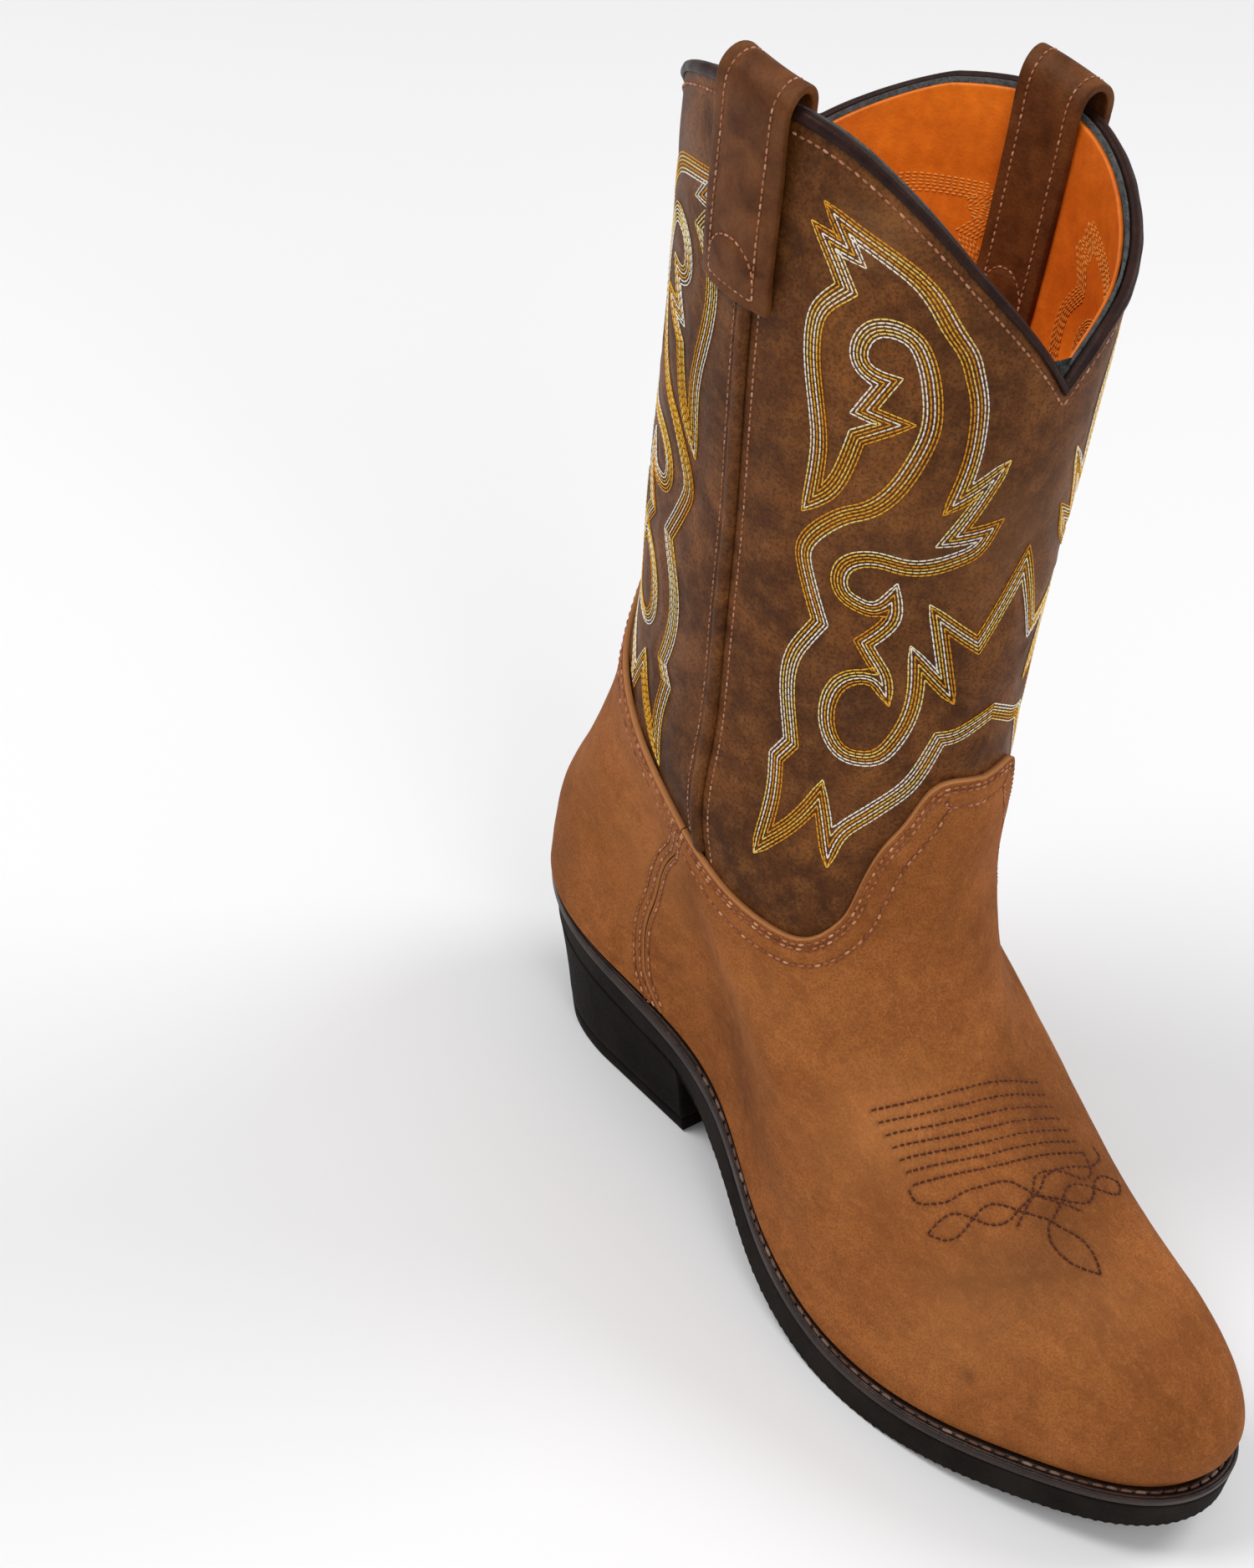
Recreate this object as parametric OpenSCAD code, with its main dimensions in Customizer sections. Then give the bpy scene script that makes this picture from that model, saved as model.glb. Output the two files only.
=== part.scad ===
// Western boot, right foot: round toe, scalloped collar, underslung heel, pull straps.
// Millimetres. The toe points along +X, +Y is the boot's left, +Z is up, and the boot
// stands on z = 0. The upper is one lofted surface; each layer is a patch of it.

/* [Upper] */
// Height of the collar above the floor at the outer side
collar_height = 362; // [354:1:364]
// How much lower the collar is at the inner side
collar_lean = 24; // [16:1:24]
// Depth of the scallop at the front of the collar
front_dip = 62; // [44:1:66]
// Depth of the scallop at the back of the collar
back_dip = 56; // [30:1:60]
// How far the toe leans to the inner side
toe_skew = 7; // [4:1:8]

/* [Sole] */
// Depth of the rubber outsole and welt together, below the feather edge
sole_depth = 13.7; // [13.5:0.1:14.5]
// Thickness of the welt
welt_t = 2.9; // [2.4:0.1:3.2]
// Thickness of the heel's top cap
cap_t = 5.5; // [4:0.5:7]
// Diameter of the heel nails
nail_d = 2.5; // [2:0.1:3]
// Distance between the stitches of the welt
stitch_pitch = 5.4; // [5:0.1:7]

/* [Straps] */
// Width of a pull strap
strap_w = 25; // [22:1:30]
// Thickness of a pull strap
strap_t = 2.4; // [1.8:0.1:2.6]
// Height of a strap's loop above the collar
loop_rise = 9.5; // [8:0.5:12]

/* [Mesh] */
// Angle between the columns of the upper's surface
column_step = 9; // [9:1:12]

/* [Hidden] */

// Levels of the upper, from the feather edge to above the collar. Each row holds:
// x and z at the back, x and z at the front, half width of the shaft section,
// share of the shaft section, and how closely the row follows the sole's curve.
ROWS = [
    [ 5.5,  52, 291,    25,  0,    0,    1],
    [ 4.5,  62, 295,    36,  0,    0,    1],
    [ 4,    75, 289,    48, 39,    0.06, 0.95],
    [ 6.5,  88, 273,    58, 39,    0.16, 0.8],
    [11,   102, 246,    65, 41,    0.32, 0.6],
    [14.5, 117, 212,    74, 41,    0.55, 0.4],
    [17,   132, 180,    91, 41.5,  0.8,  0.2],
    [19,   150, 157,   129, 45,    1,    0.1],
    [18,   175, 152,   161, 44.5,  1,    0],
    [13,   205, 148,   197, 45,    1,    0],
    [10.5, 240, 144,   237, 47.5,  1,    0],
    [ 9,   280, 140,   282, 52.5,  1,    0],
    [ 3.5, 330, 135,   338, 55.5,  1,    0],
    [ 0,   380, 132,   392, 57.5,  1,    0]
];
LEVELS = [for (i = [0:len(ROWS) - 1]) i];

// Fullness of the sole's outline, along its length, at the outer and inner side
OUTLINE_S = [0, 0.12, 0.27, 0.38, 0.52, 0.67, 0.82, 0.91, 1];
OUTER_W = [65, 53, 36, 32, 43, 50.5, 53, 53, 57];
INNER_W = [65, 52, 36.5, 32, 44.5, 49.5, 45, 45, 57];

// Height of the feather edge along the boot: heel seat, waist, ball and toe spring
BASE_X = [0, 40, 70, 110, 150, 200, 250, 305];
BASE_Z = [52, 49, 46, 38, 24.5, 13.5, 17.5, 27.5];

// How far the welt stands out from the feather edge
MARGIN_S = [0, 0.1, 0.35, 0.7, 1];
MARGIN_W = [1.5, 3, 5, 5, 8];

// Edges of the leather pieces: angle from the back, and level
SEAM_T = [0, 0.8, 2, 3.2, 4.4, 5.6, 6.6];
SEAM_A = [65, 60.5, 59, 60.5, 64.5, 75, 87];
VAMP_A = [87, 104, 116, 128, 138, 143, 147, 153, 158, 164, 172, 180];
VAMP_T = [6.6, 6.5, 6.55, 6.68, 6.95, 7.25, 7.75, 8.15, 8.45, 8.6, 8.62, 8.6];
COUNTER_A = [0, 12, 20, 28, 36, 50, 70, 87];
COUNTER_T = [8, 7.95, 7.75, 7.45, 7.25, 7.1, 6.85, 6.6];

foot_back = 5.5;
foot_length = 285.5;
side_seam = 92.5;
seam_gap = 0.35;
lap = 0.45;

// Layers of the upper, measured from the surface: outwards is positive
FOOT_SKIN = [0.6, 2.4];
SHAFT_SKIN = [-1.2, 0];
FOOT_LINING = [-2.7, -1.7];
SHAFT_BACKING = [-3.4, -2.4];
SHAFT_LINING = [-4.8, -3.8];
STRAP_OUT = 3.5;
STRAP_IN = -6.6;

// Heel: plan of its foot on the floor, and where its front face meets the sole
heel_back = 29;
heel_front = 101;
heel_half = 29.5;
heel_corner = 34;
breast_s = 0.312;
breast_a = acos(1 - 2 * breast_s);
NAILS = [[24, 0], [32, 17], [32, -17], [52, 22], [52, -22], [72, 20], [72, -20]];

// Middle of the whole boot's plan, which is the part's origin
mid_x = 149.5;
mid_y = -0.1;
module centred() {
    translate([-mid_x, -mid_y, 0]) children();
}

function mix(a, b, f) = a + (b - a) * f;
function clamp(x, lo, hi) = min(hi, max(lo, x));
function ease(x) = let (u = clamp(x, 0, 1)) u * u * (3 - 2 * u);

// Natural cubic spline through values v at knots k
function sweep_down(k, v, i) = i == 0 ? [[0, 0]] :
    let (
        done = sweep_down(k, v, i - 1),
        last = done[i - 1],
        h0 = k[i] - k[i - 1],
        h1 = k[i + 1] - k[i],
        rhs = (v[i + 1] - v[i]) / h1 - (v[i] - v[i - 1]) / h0,
        den = (h0 + h1) / 3 - h0 / 6 * last[0]
    )
    concat(done, [[h1 / 6 / den, (rhs - h0 / 6 * last[1]) / den]]);
function back_up(c, i) = i == len(c) ? [0] :
    let (rest = back_up(c, i + 1))
    concat([i == 0 ? 0 : c[i][1] - c[i][0] * rest[0]], rest);
function bends(k, v) = back_up(sweep_down(k, v, len(k) - 2), 0);
function interval(k, x) = clamp(len([for (q = k) if (q <= x) q]) - 1, 0, len(k) - 2);
function spline(k, v, m, x) =
    let (
        i = interval(k, x),
        h = k[i + 1] - k[i],
        b = (x - k[i]) / h,
        a = 1 - b
    )
    a * v[i] + b * v[i + 1] + ((a * a * a - a) * m[i] + (b * b * b - b) * m[i + 1]) * h * h / 6;

OUTER_M = bends(OUTLINE_S, OUTER_W);
INNER_M = bends(OUTLINE_S, INNER_W);
BASE_M = bends(BASE_X, BASE_Z);
MARGIN_M = bends(MARGIN_S, MARGIN_W);
SEAM_M = bends(SEAM_T, SEAM_A);
VAMP_M = bends(VAMP_A, VAMP_T);
COUNTER_M = bends(COUNTER_A, COUNTER_T);
ROW_COLS = [for (c = [0:6]) [for (r = ROWS) r[c]]];
ROW_M = [for (c = [0:6]) bends(LEVELS, ROW_COLS[c])];

function row_value(c, t) = spline(LEVELS, ROW_COLS[c], ROW_M[c], t);
function base(x) = spline(BASE_X, BASE_Z, BASE_M, x);
function margin(s) = spline(MARGIN_S, MARGIN_W, MARGIN_M, s);
function skew(s) = toe_skew * ease((s - 0.62) / 0.38);
function along(a) = (1 - cos(a)) / 2;
function fullness(a, s) = sin(a) >= 0 ? spline(OUTLINE_S, OUTER_W, OUTER_M, s)
                                      : spline(OUTLINE_S, INNER_W, INNER_M, s);

// Point of the upper's surface: a is the angle from the back round the outer side,
// t the level
function skin(a, t) =
    let (
        s = along(a),
        xb = row_value(0, t),
        zb = row_value(1, t),
        xf = row_value(2, t),
        zf = row_value(3, t),
        w = row_value(4, t),
        m = clamp(row_value(5, t), 0, 1),
        follow = clamp(row_value(6, t), 0, 1),
        x = mix(xb, xf, s),
        y = -sin(a) * mix(fullness(a, s), w, m) + pow(1 - m, 3) * skew(s),
        curve = base(x) - mix(base(xb), base(xf), s)
    )
    [x, y, mix(zb, zf, s) + follow * curve];
function unit(v) = v / norm(v);
function outward(a, t) = unit(cross(
    skin(a + 0.5, t) - skin(a - 0.5, t),
    skin(a, t + 0.02) - skin(a, max(t - 0.02, 0))));
function layer_point(a, t, off) = skin(a, t) + off * outward(a, t);

// Level of the surface at angle a and height z
function level_at(a, z, lo = 6, hi = 13, n = 18) =
    let (mid = (lo + hi) / 2)
    n == 0 ? mid : skin(a, mid)[2] < z ? level_at(a, z, mid, hi, n - 1)
                                          : level_at(a, z, lo, mid, n - 1);

// Height of the collar at angle a: high at the sides, scalloped at front and back
function from_back(a) = abs(((a + 180) % 360 + 360) % 360 - 180);
function collar_z(a) =
    let (
        q = from_back(a),
        side = sin(a) >= 0 ? 0 : collar_lean * ease(sin(-a)),
        dip = q > 97 ? front_dip * (1 - cos((q - 97) * 90 / 83))
                     : back_dip * (1 - cos((97 - q) * 90 / 97))
    )
    collar_height - side - dip;
function collar_level(a, below) = level_at(a, collar_z(a) - below);

function seam_angle(t) = spline(SEAM_T, SEAM_A, SEAM_M, clamp(t, 0, 6.6));
function vamp_top(a) = spline(VAMP_A, VAMP_T, VAMP_M, clamp(from_back(a), 87, 180));
function counter_top(a) = spline(COUNTER_A, COUNTER_T, COUNTER_M, clamp(from_back(a), 0, 87));

// Solid between an outer and an inner grid of points: columns go round the boot,
// and the points of a column go up
module leaf(outer, inner) {
    n = len(outer) - 1;
    m = len(outer[0]) - 1;
    all_points = concat([for (c = outer) each c], [for (c = inner) each c]);
    function p(i, j) = i * (m + 1) + j;
    function q(i, j) = p(i, j) + (n + 1) * (m + 1);
    function quad(a, b, c, d) = [[a, b, c], [a, c, d]];
    skins = [for (i = [0:n - 1], j = [0:m - 1]) each concat(
        quad(p(i, j), p(i, j + 1), p(i + 1, j + 1), p(i + 1, j)),
        quad(q(i, j), q(i + 1, j), q(i + 1, j + 1), q(i, j + 1)))];
    rims = [for (i = [0:n - 1]) each concat(
        quad(p(i, 0), p(i + 1, 0), q(i + 1, 0), q(i, 0)),
        quad(p(i + 1, m), p(i, m), q(i, m), q(i + 1, m)))];
    ends = [for (j = [0:m - 1]) each concat(
        quad(p(0, j + 1), p(0, j), q(0, j), q(0, j + 1)),
        quad(p(n, j), p(n, j + 1), q(n, j + 1), q(n, j)))];
    polyhedron(all_points, concat(skins, rims, ends), convexity = 6);
}

// Leather patch: spots is a grid of [angle, level], and band the two offsets
module patch(spots, band) {
    leaf(
        [for (c = spots) [for (k = c) layer_point(k[0], k[1], band[1])]],
        [for (c = spots) [for (k = c) layer_point(k[0], k[1], band[0])]]);
}

// Grid between two angles, from level lo(a) to level hi(a), with a column in the middle
function field(a0, a1, lo, hi, rows, step = column_step) =
    let (n = 2 * ceil((a1 - a0) / step / 2))
    [for (i = [0:n]) let (a = mix(a0, a1, i / n))
        [for (j = [0:rows]) [a, mix(lo(a), hi(a), j / rows)]]];

// Solid of sections swept in order, closed into a ring or capped at both ends
module sweep(sections, ring = false) {
    n = len(sections);
    m = len(sections[0]);
    spans = ring ? n : n - 1;
    function p(i, k) = (i % n) * m + k % m;
    walls = [for (i = [0:spans - 1], k = [0:m - 1]) each [
        [p(i, k), p(i, k + 1), p(i + 1, k + 1)],
        [p(i, k), p(i + 1, k + 1), p(i + 1, k)]]];
    start_cap = [for (k = [m - 1:-1:0]) p(0, k)];
    end_cap = [for (k = [0:m - 1]) p(n - 1, k)];
    caps = ring ? [] : [start_cap, end_cap];
    polyhedron([for (s = sections) each s], concat(walls, caps), convexity = 6);
}

// Plan of the sole: share of the welt's margin, less an inset
function edge(a, share, inset) =
    let (
        s = along(a),
        back = share * MARGIN_W[0] - inset,
        front = share * MARGIN_W[len(MARGIN_W) - 1] - inset,
        reach = fullness(a, s) + share * margin(s) - inset
    )
    [foot_back - back + (foot_length + back + front) * s, -sin(a) * reach + skew(s)];
function edge_point(a, share, inset, dz) =
    let (e = edge(a, share, inset))
    [e[0], e[1], base(e[0]) + dz];

// Foot of the heel on the floor: squarer at the back than the sole, narrower in front
function heel_foot(a) =
    let (
        u = along(a) / breast_s,
        x = mix(heel_back, heel_front, u),
        v = clamp((x - heel_back) / heel_corner, 0, 1),
        half = heel_half * pow(1 - pow(1 - v, 2.6), 1 / 2.6) - 3 * max(0, u - 0.45) / 0.55
    )
    [x, sin(a) >= 0 ? -half : half];

// Point of the sole's side wall at depth dz below the feather edge. Round the heel
// the wall leans in to meet the heel's foot.
function wall_point(a, dz) =
    let (
        e = edge(a, 1, 0),
        rim = base(e[0]) - 0.5,
        z = max(0, base(e[0]) + dz),
        lean = 1 - ease((along(a) / breast_s - 0.95) / 0.35),
        f = heel_foot(a),
        k = lean * (1 - z / rim)
    )
    [mix(e[0], f[0], k), mix(e[1], f[1], k), z];
function wall_at(a, z) =
    let (
        e = edge(a, 1, 0),
        f = heel_foot(a),
        k = 1 - z / (base(e[0]) - 0.5)
    )
    [mix(e[0], f[0], k), mix(e[1], f[1], k), z];

tip_a = 5;
function stations(a0, a1, n) = [for (i = [0:n]) mix(a0, a1, i / n)];
function flat_slab(inset, low, high, a0 = tip_a, a1 = 180 - tip_a, n = 34) =
    [for (a = stations(a0, a1, n)) [
        edge_point(a, 0, inset, low), edge_point(a, 0, inset, high),
        edge_point(-a, 0, inset, high), edge_point(-a, 0, inset, low)]];

module nail_bores() {
    for (n = NAILS) translate([n[0], n[1], 12]) cylinder(d = nail_d + 0.1, h = 60, $fn = 24);
}

module outsole_blank() {
    sweep([for (a = stations(tip_a, 180 - tip_a, 40)) [
        wall_point(a, -sole_depth), wall_point(a, -welt_t - 0.9),
        wall_point(-a, -welt_t - 0.9), wall_point(-a, -sole_depth)]]);
}

// Channel for the lockstitch on the underside, round the forepart
module stitch_channel() {
    sweep([for (a = stations(76, 284, 52)) [
        edge_point(a, 1, 5, -sole_depth - 3), edge_point(a, 1, 5, -sole_depth + 1.6),
        edge_point(a, 1, 7, -sole_depth + 1.6), edge_point(a, 1, 7, -sole_depth - 3)]]);
}

badge_x = 121;
badge_slope = atan((base(badge_x + 1) - base(badge_x - 1)) / 2);
module badge_disc(grow, deep) {
    translate([badge_x, 0, base(badge_x) - sole_depth]) rotate([0, -badge_slope, 0])
        translate([0, 0, -deep + 1.4]) linear_extrude(height = deep)
            polygon([for (a = [0:12:348]) [(6.5 + grow) * cos(a), (15.5 + grow) * sin(a)]]);
}

module outsole() {
    color([0.16, 0.14, 0.13]) centred() difference() {
        outsole_blank();
        sweep(flat_slab(5.2, -6.4, 4));
        stitch_channel();
        badge_disc(0.3, 6);
        nail_bores();
    }
}

module heel_block() {
    color([0.13, 0.11, 0.1]) centred() difference() {
        sweep([for (a = stations(tip_a, breast_a, 20)) [
            wall_at(a, cap_t + 0.1), wall_point(a, -sole_depth - 0.1),
            wall_point(-a, -sole_depth - 0.1), wall_at(-a, cap_t + 0.1)]]);
        nail_bores();
    }
}

module heel_cap() {
    color([0.1, 0.09, 0.09]) centred() sweep([for (a = stations(tip_a, breast_a, 20)) [
        wall_at(a, 0), wall_at(a, cap_t), wall_at(-a, cap_t), wall_at(-a, 0)]]);
}

module welt() {
    color([0.22, 0.14, 0.1]) centred() sweep([for (a = [0:5:355]) [
        edge_point(a, 1, 0, -0.5 - welt_t), edge_point(a, 1, 0, -0.5),
        edge_point(a, 0, -0.3, -0.5), edge_point(a, 0, -0.3, -0.5 - welt_t)]], ring = true);
}

module insole_board() {
    color([0.72, 0.6, 0.45]) centred() difference() {
        sweep(flat_slab(0.5, -2.9, -0.6));
        nail_bores();
    }
}

module insole_rib() {
    color([0.85, 0.82, 0.74]) centred() sweep([for (a = [0:6:354]) [
        edge_point(a, 0, 5.8, -6.1), edge_point(a, 0, 5.8, -3.1),
        edge_point(a, 0, 8, -3.1), edge_point(a, 0, 8, -6.1)]], ring = true);
}

module shank_strip(grow) {
    half = 8 + grow;
    sweep([for (x = [56:8:168]) let (end = x + (x == 56 ? -grow : x == 168 ? grow : 0)) [
        [end, -half, base(x) - 6 - grow], [end, -half, base(x) - 4.8 + grow],
        [end, half, base(x) - 4.8 + grow], [end, half, base(x) - 6 - grow]]]);
}

module cork_filler() {
    color([0.62, 0.45, 0.28]) centred() difference() {
        sweep(flat_slab(8.4, -6.1, -3.2));
        shank_strip(0.3);
        nail_bores();
    }
}

module shank() {
    color([0.55, 0.57, 0.6]) centred() shank_strip(0);
}

module heel_nails() {
    color([0.6, 0.6, 0.62]) centred() for (n = NAILS) translate([n[0], n[1], 14])
        cylinder(d = nail_d, h = base(n[0]) - 1 - 14, $fn = 24);
}

module sole_badge() {
    color([0.06, 0.05, 0.05]) centred() badge_disc(0, 1.1);
}

// Angles of equally spaced stitches along the welt
function stitch_angles(a, last, share, inset) = a > last ? [] :
    let (step = stitch_pitch / norm(edge(a + 0.5, share, inset) - edge(a - 0.5, share, inset)))
    concat([a], stitch_angles(a + step, last, share, inset));

module thread(p, q, d) {
    run = q - p;
    translate(p) rotate([0, acos(run[2] / norm(run)), atan2(run[1], run[0])])
        cylinder(d = d, h = norm(run), $fn = 14);
}

module stitch_row(first, last, share, inset, dz, d) {
    spots = stitch_angles(first, last, share, inset);
    for (i = [0:len(spots) - 2]) {
        p = edge_point(spots[i], share, inset, dz);
        q = edge_point(spots[i + 1], share, inset, dz);
        thread(mix(p, q, 0.1), mix(p, q, 0.9), d);
    }
}

module welt_stitching() {
    color([0.55, 0.42, 0.3]) centred() stitch_row(72, 288, 0.72, 0, 0.12, 0.9);
}

module outsole_stitching() {
    color([0.4, 0.24, 0.18]) centred() stitch_row(80, 280, 1, 6, -sole_depth + 0.9, 0.8);
}

// Grid shared by the layers of the forepart, and by those of the back part: columns
// i0 to i1 of the leather piece's own, and rows j0 to j1
FRONT_COLS = 28;
FRONT_ROWS = 18;
BACK_COLS = 18;
BACK_ROWS = 14;
function front_grid(i0, i1, j0, j1) = [for (i = [i0:i1])
    let (u = i / FRONT_COLS, top = vamp_top(mix(87, 273, u)))
    [for (j = [j0:j1])
        let (t = mix(0.1, top, j / FRONT_ROWS), a = seam_angle(t) + seam_gap)
        [mix(a, 360 - a, u), t]]];
function back_grid(i0, i1, j0, j1) = [for (i = [i0:i1])
    let (u = i / BACK_COLS, top = counter_top(mix(-87, 87, u)))
    [for (j = [j0:j1])
        let (t = mix(0.1, top, j / BACK_ROWS), a = seam_angle(t) - seam_gap)
        [mix(-a, a, u), t]]];

module vamp() {
    color([0.6, 0.39, 0.22]) centred()
        patch(front_grid(0, FRONT_COLS, 0, FRONT_ROWS), FOOT_SKIN);
}

module counter() {
    color([0.58, 0.37, 0.21]) centred()
        patch(back_grid(0, BACK_COLS, 0, BACK_ROWS), FOOT_SKIN);
}

module front_leaf(band, below, above_lap) {
    patch(field(side_seam + seam_gap, 360 - side_seam - seam_gap,
        function(a) vamp_top(a) - lap + above_lap,
        function(a) collar_level(a, below), 14), band);
}

module back_leaf(band, below, above_lap) {
    patch(field(-side_seam + seam_gap, side_seam - seam_gap,
        function(a) counter_top(a) - lap + above_lap,
        function(a) collar_level(a, below), 14), band);
}

module front_shaft_panel() {
    color([0.36, 0.26, 0.18]) centred() front_leaf(SHAFT_SKIN, 1.2, 0);
}

module back_shaft_panel() {
    color([0.36, 0.26, 0.18]) centred() back_leaf(SHAFT_SKIN, 1.2, 0);
}

module toe_puff() {
    color([0.8, 0.78, 0.7]) centred() patch(front_grid(8, 20, 0, 8), SHAFT_SKIN);
}

module heel_stiffener() {
    color([0.8, 0.76, 0.66]) centred() patch(back_grid(1, 17, 0, 10), SHAFT_SKIN);
}

module vamp_backing() {
    color([0.75, 0.72, 0.68]) centred() patch(front_grid(2, 26, 9, 13), SHAFT_SKIN);
}

module vamp_lining() {
    color([0.75, 0.45, 0.2]) centred() patch(front_grid(0, FRONT_COLS, 0, 16), FOOT_LINING);
}

module heel_lining() {
    color([0.72, 0.43, 0.2]) centred() patch(back_grid(0, BACK_COLS, 0, 12), FOOT_LINING);
}

module front_shaft_backing() {
    color([0.5, 0.5, 0.5]) centred() front_leaf(SHAFT_BACKING, 2, 0.1);
}

module back_shaft_backing() {
    color([0.5, 0.5, 0.5]) centred() back_leaf(SHAFT_BACKING, 2, 0.1);
}

module front_shaft_lining() {
    color([0.8, 0.42, 0.14]) centred() patch(field(side_seam + seam_gap, 360 - side_seam - seam_gap,
        function(a) 5.3, function(a) collar_level(a, 2), 16), SHAFT_LINING);
}

module back_shaft_lining() {
    color([0.8, 0.42, 0.14]) centred() patch(field(-side_seam + seam_gap, side_seam - seam_gap,
        function(a) 5.3, function(a) collar_level(a, 2), 16), SHAFT_LINING);
}

module side_welt(a) {
    patch(field(a - 1.9, a + 1.9,
        function(a) 6.95, function(a) collar_level(a, 6.5), 16, 1.9), [0.3, 1.9]);
}

module side_welt_right() {
    color([0.3, 0.21, 0.15]) centred() side_welt(side_seam);
}

module side_welt_left() {
    color([0.3, 0.21, 0.15]) centred() side_welt(360 - side_seam);
}

// Folded strip over the raw edge of the shaft leather
module collar_binding() {
    rim = 4.8;
    hem = 0.9;
    function spot(a, off, below) = layer_point(a, collar_level(a, below), off);
    color([0.17, 0.12, 0.11]) centred() sweep([for (a = [0:6:354]) [
        spot(a, 1, rim), spot(a, 1, 0.3), spot(a, 0.4, 0), spot(a, -1.6, 0),
        spot(a, -2.1, 0.3), spot(a, -2.1, rim), spot(a, -1.5, rim), spot(a, -1.5, hem),
        spot(a, 0.3, hem), spot(a, 0.3, rim)]], ring = true);
}

// Way of a pull strap: up the outside, over the collar, and down the inside.
// Each point is [offset of the strap's middle, height above the collar's side].
LOOP = [
    [STRAP_OUT, -54], [STRAP_OUT, -38], [STRAP_OUT, -21], [STRAP_OUT, -6],
    each [for (q = [0:22.5:180]) [
        mix(STRAP_IN, STRAP_OUT, 0.5 + 0.5 * cos(q)), (loop_rise - strap_t / 2) * sin(q)]],
    [STRAP_IN, -8], [STRAP_IN, -22], [STRAP_IN, -36], [STRAP_IN, -50], [STRAP_IN, -65]
];

module pull_strap(a, top) {
    half = strap_w / 2 / (skin(a + 0.5, 12) - skin(a - 0.5, 12))[0] * sign(sin(a));
    function side_way(k) = unit(let (d = LOOP[min(k + 1, len(LOOP) - 1)] - LOOP[max(k - 1, 0)])
        [d[1], -d[0]]);
    function spot(b, k, r) = let (
        way = LOOP[k] + r * side_way(k),
        z = top + way[1],
        t = level_at(b, min(z, top)),
        n = outward(b, t),
        flat = unit([n[0], n[1], 0]))
        [each [for (c = [0:1]) skin(b, t)[c] + flat[c] * way[0]], z];
    leaf(
        [for (i = [0:6]) [for (k = [0:len(LOOP) - 1])
            spot(a + mix(-half, half, i / 6), k, strap_t / 2)]],
        [for (i = [0:6]) [for (k = [0:len(LOOP) - 1])
            spot(a + mix(-half, half, i / 6), k, -strap_t / 2)]]);
}

module pull_strap_right() {
    color([0.33, 0.23, 0.15]) centred() pull_strap(90, collar_z(90));
}

module pull_strap_left() {
    color([0.33, 0.23, 0.15]) centred() pull_strap(270, collar_z(270));
}

module footbed() {
    color([0.25, 0.25, 0.27]) centred() sweep(flat_slab(5.6, 0.3, 4.3));
}

module footbed_cover() {
    color([0.7, 0.5, 0.32]) centred() sweep(flat_slab(6, 4.4, 5.6));
}

outsole();
heel_block();
heel_cap();
welt();
insole_board();
insole_rib();
cork_filler();
shank();
heel_nails();
sole_badge();
welt_stitching();
outsole_stitching();
vamp();
counter();
front_shaft_panel();
back_shaft_panel();
toe_puff();
heel_stiffener();
vamp_backing();
vamp_lining();
heel_lining();
front_shaft_backing();
back_shaft_backing();
front_shaft_lining();
back_shaft_lining();
side_welt_right();
side_welt_left();
collar_binding();
pull_strap_right();
pull_strap_left();
footbed();
footbed_cover();
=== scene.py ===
"""Looks of the western boot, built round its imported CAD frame.

Lengths are in millimetres in the boot's own frame (toe along +X, +Y its left) until a mesh is
made, which moves them to the row frame in metres. The upper is one lofted surface, skin(a, t):
a is the angle in degrees from the back round the outer side, t the level up the boot.
"""
import math

import bpy
import numpy as np
from mathutils import Matrix
from mathutils.kdtree import KDTree


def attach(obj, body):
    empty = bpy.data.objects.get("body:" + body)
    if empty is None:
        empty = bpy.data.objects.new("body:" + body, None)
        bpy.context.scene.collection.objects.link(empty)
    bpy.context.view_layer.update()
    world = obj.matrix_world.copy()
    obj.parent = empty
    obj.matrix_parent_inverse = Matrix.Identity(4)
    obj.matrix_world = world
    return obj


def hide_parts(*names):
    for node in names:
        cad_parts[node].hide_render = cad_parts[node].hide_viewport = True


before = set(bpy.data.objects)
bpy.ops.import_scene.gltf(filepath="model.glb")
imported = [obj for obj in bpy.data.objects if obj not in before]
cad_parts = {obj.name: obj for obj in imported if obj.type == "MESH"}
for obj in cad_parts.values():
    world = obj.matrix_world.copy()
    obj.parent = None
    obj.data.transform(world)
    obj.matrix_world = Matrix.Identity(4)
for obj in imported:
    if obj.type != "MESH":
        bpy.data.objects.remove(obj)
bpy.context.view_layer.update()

MM = 0.001
MIDDLE = np.array([149.5, -0.1, 0.0])  # the row frame's origin in the boot's own frame

# --- the boot's surface

# x and z at the back, x and z at the front, half width of the shaft, share of the shaft
# section, share of the sole's curve
ROWS = [
    [5.5, 52, 291, 25, 0, 0, 1], [4.5, 62, 295, 36, 0, 0, 1],
    [4, 75, 289, 48, 39, 0.06, 0.95], [6.5, 88, 273, 58, 39, 0.16, 0.8],
    [11, 102, 246, 65, 41, 0.32, 0.6], [14.5, 117, 212, 74, 41, 0.55, 0.4],
    [17, 132, 180, 91, 41.5, 0.8, 0.2], [19, 150, 157, 129, 45, 1, 0.1],
    [18, 175, 152, 161, 44.5, 1, 0], [13, 205, 148, 197, 45, 1, 0],
    [10.5, 240, 144, 237, 47.5, 1, 0], [9, 280, 140, 282, 52.5, 1, 0],
    [3.5, 330, 135, 338, 55.5, 1, 0], [0, 380, 132, 392, 57.5, 1, 0],
]
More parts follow.
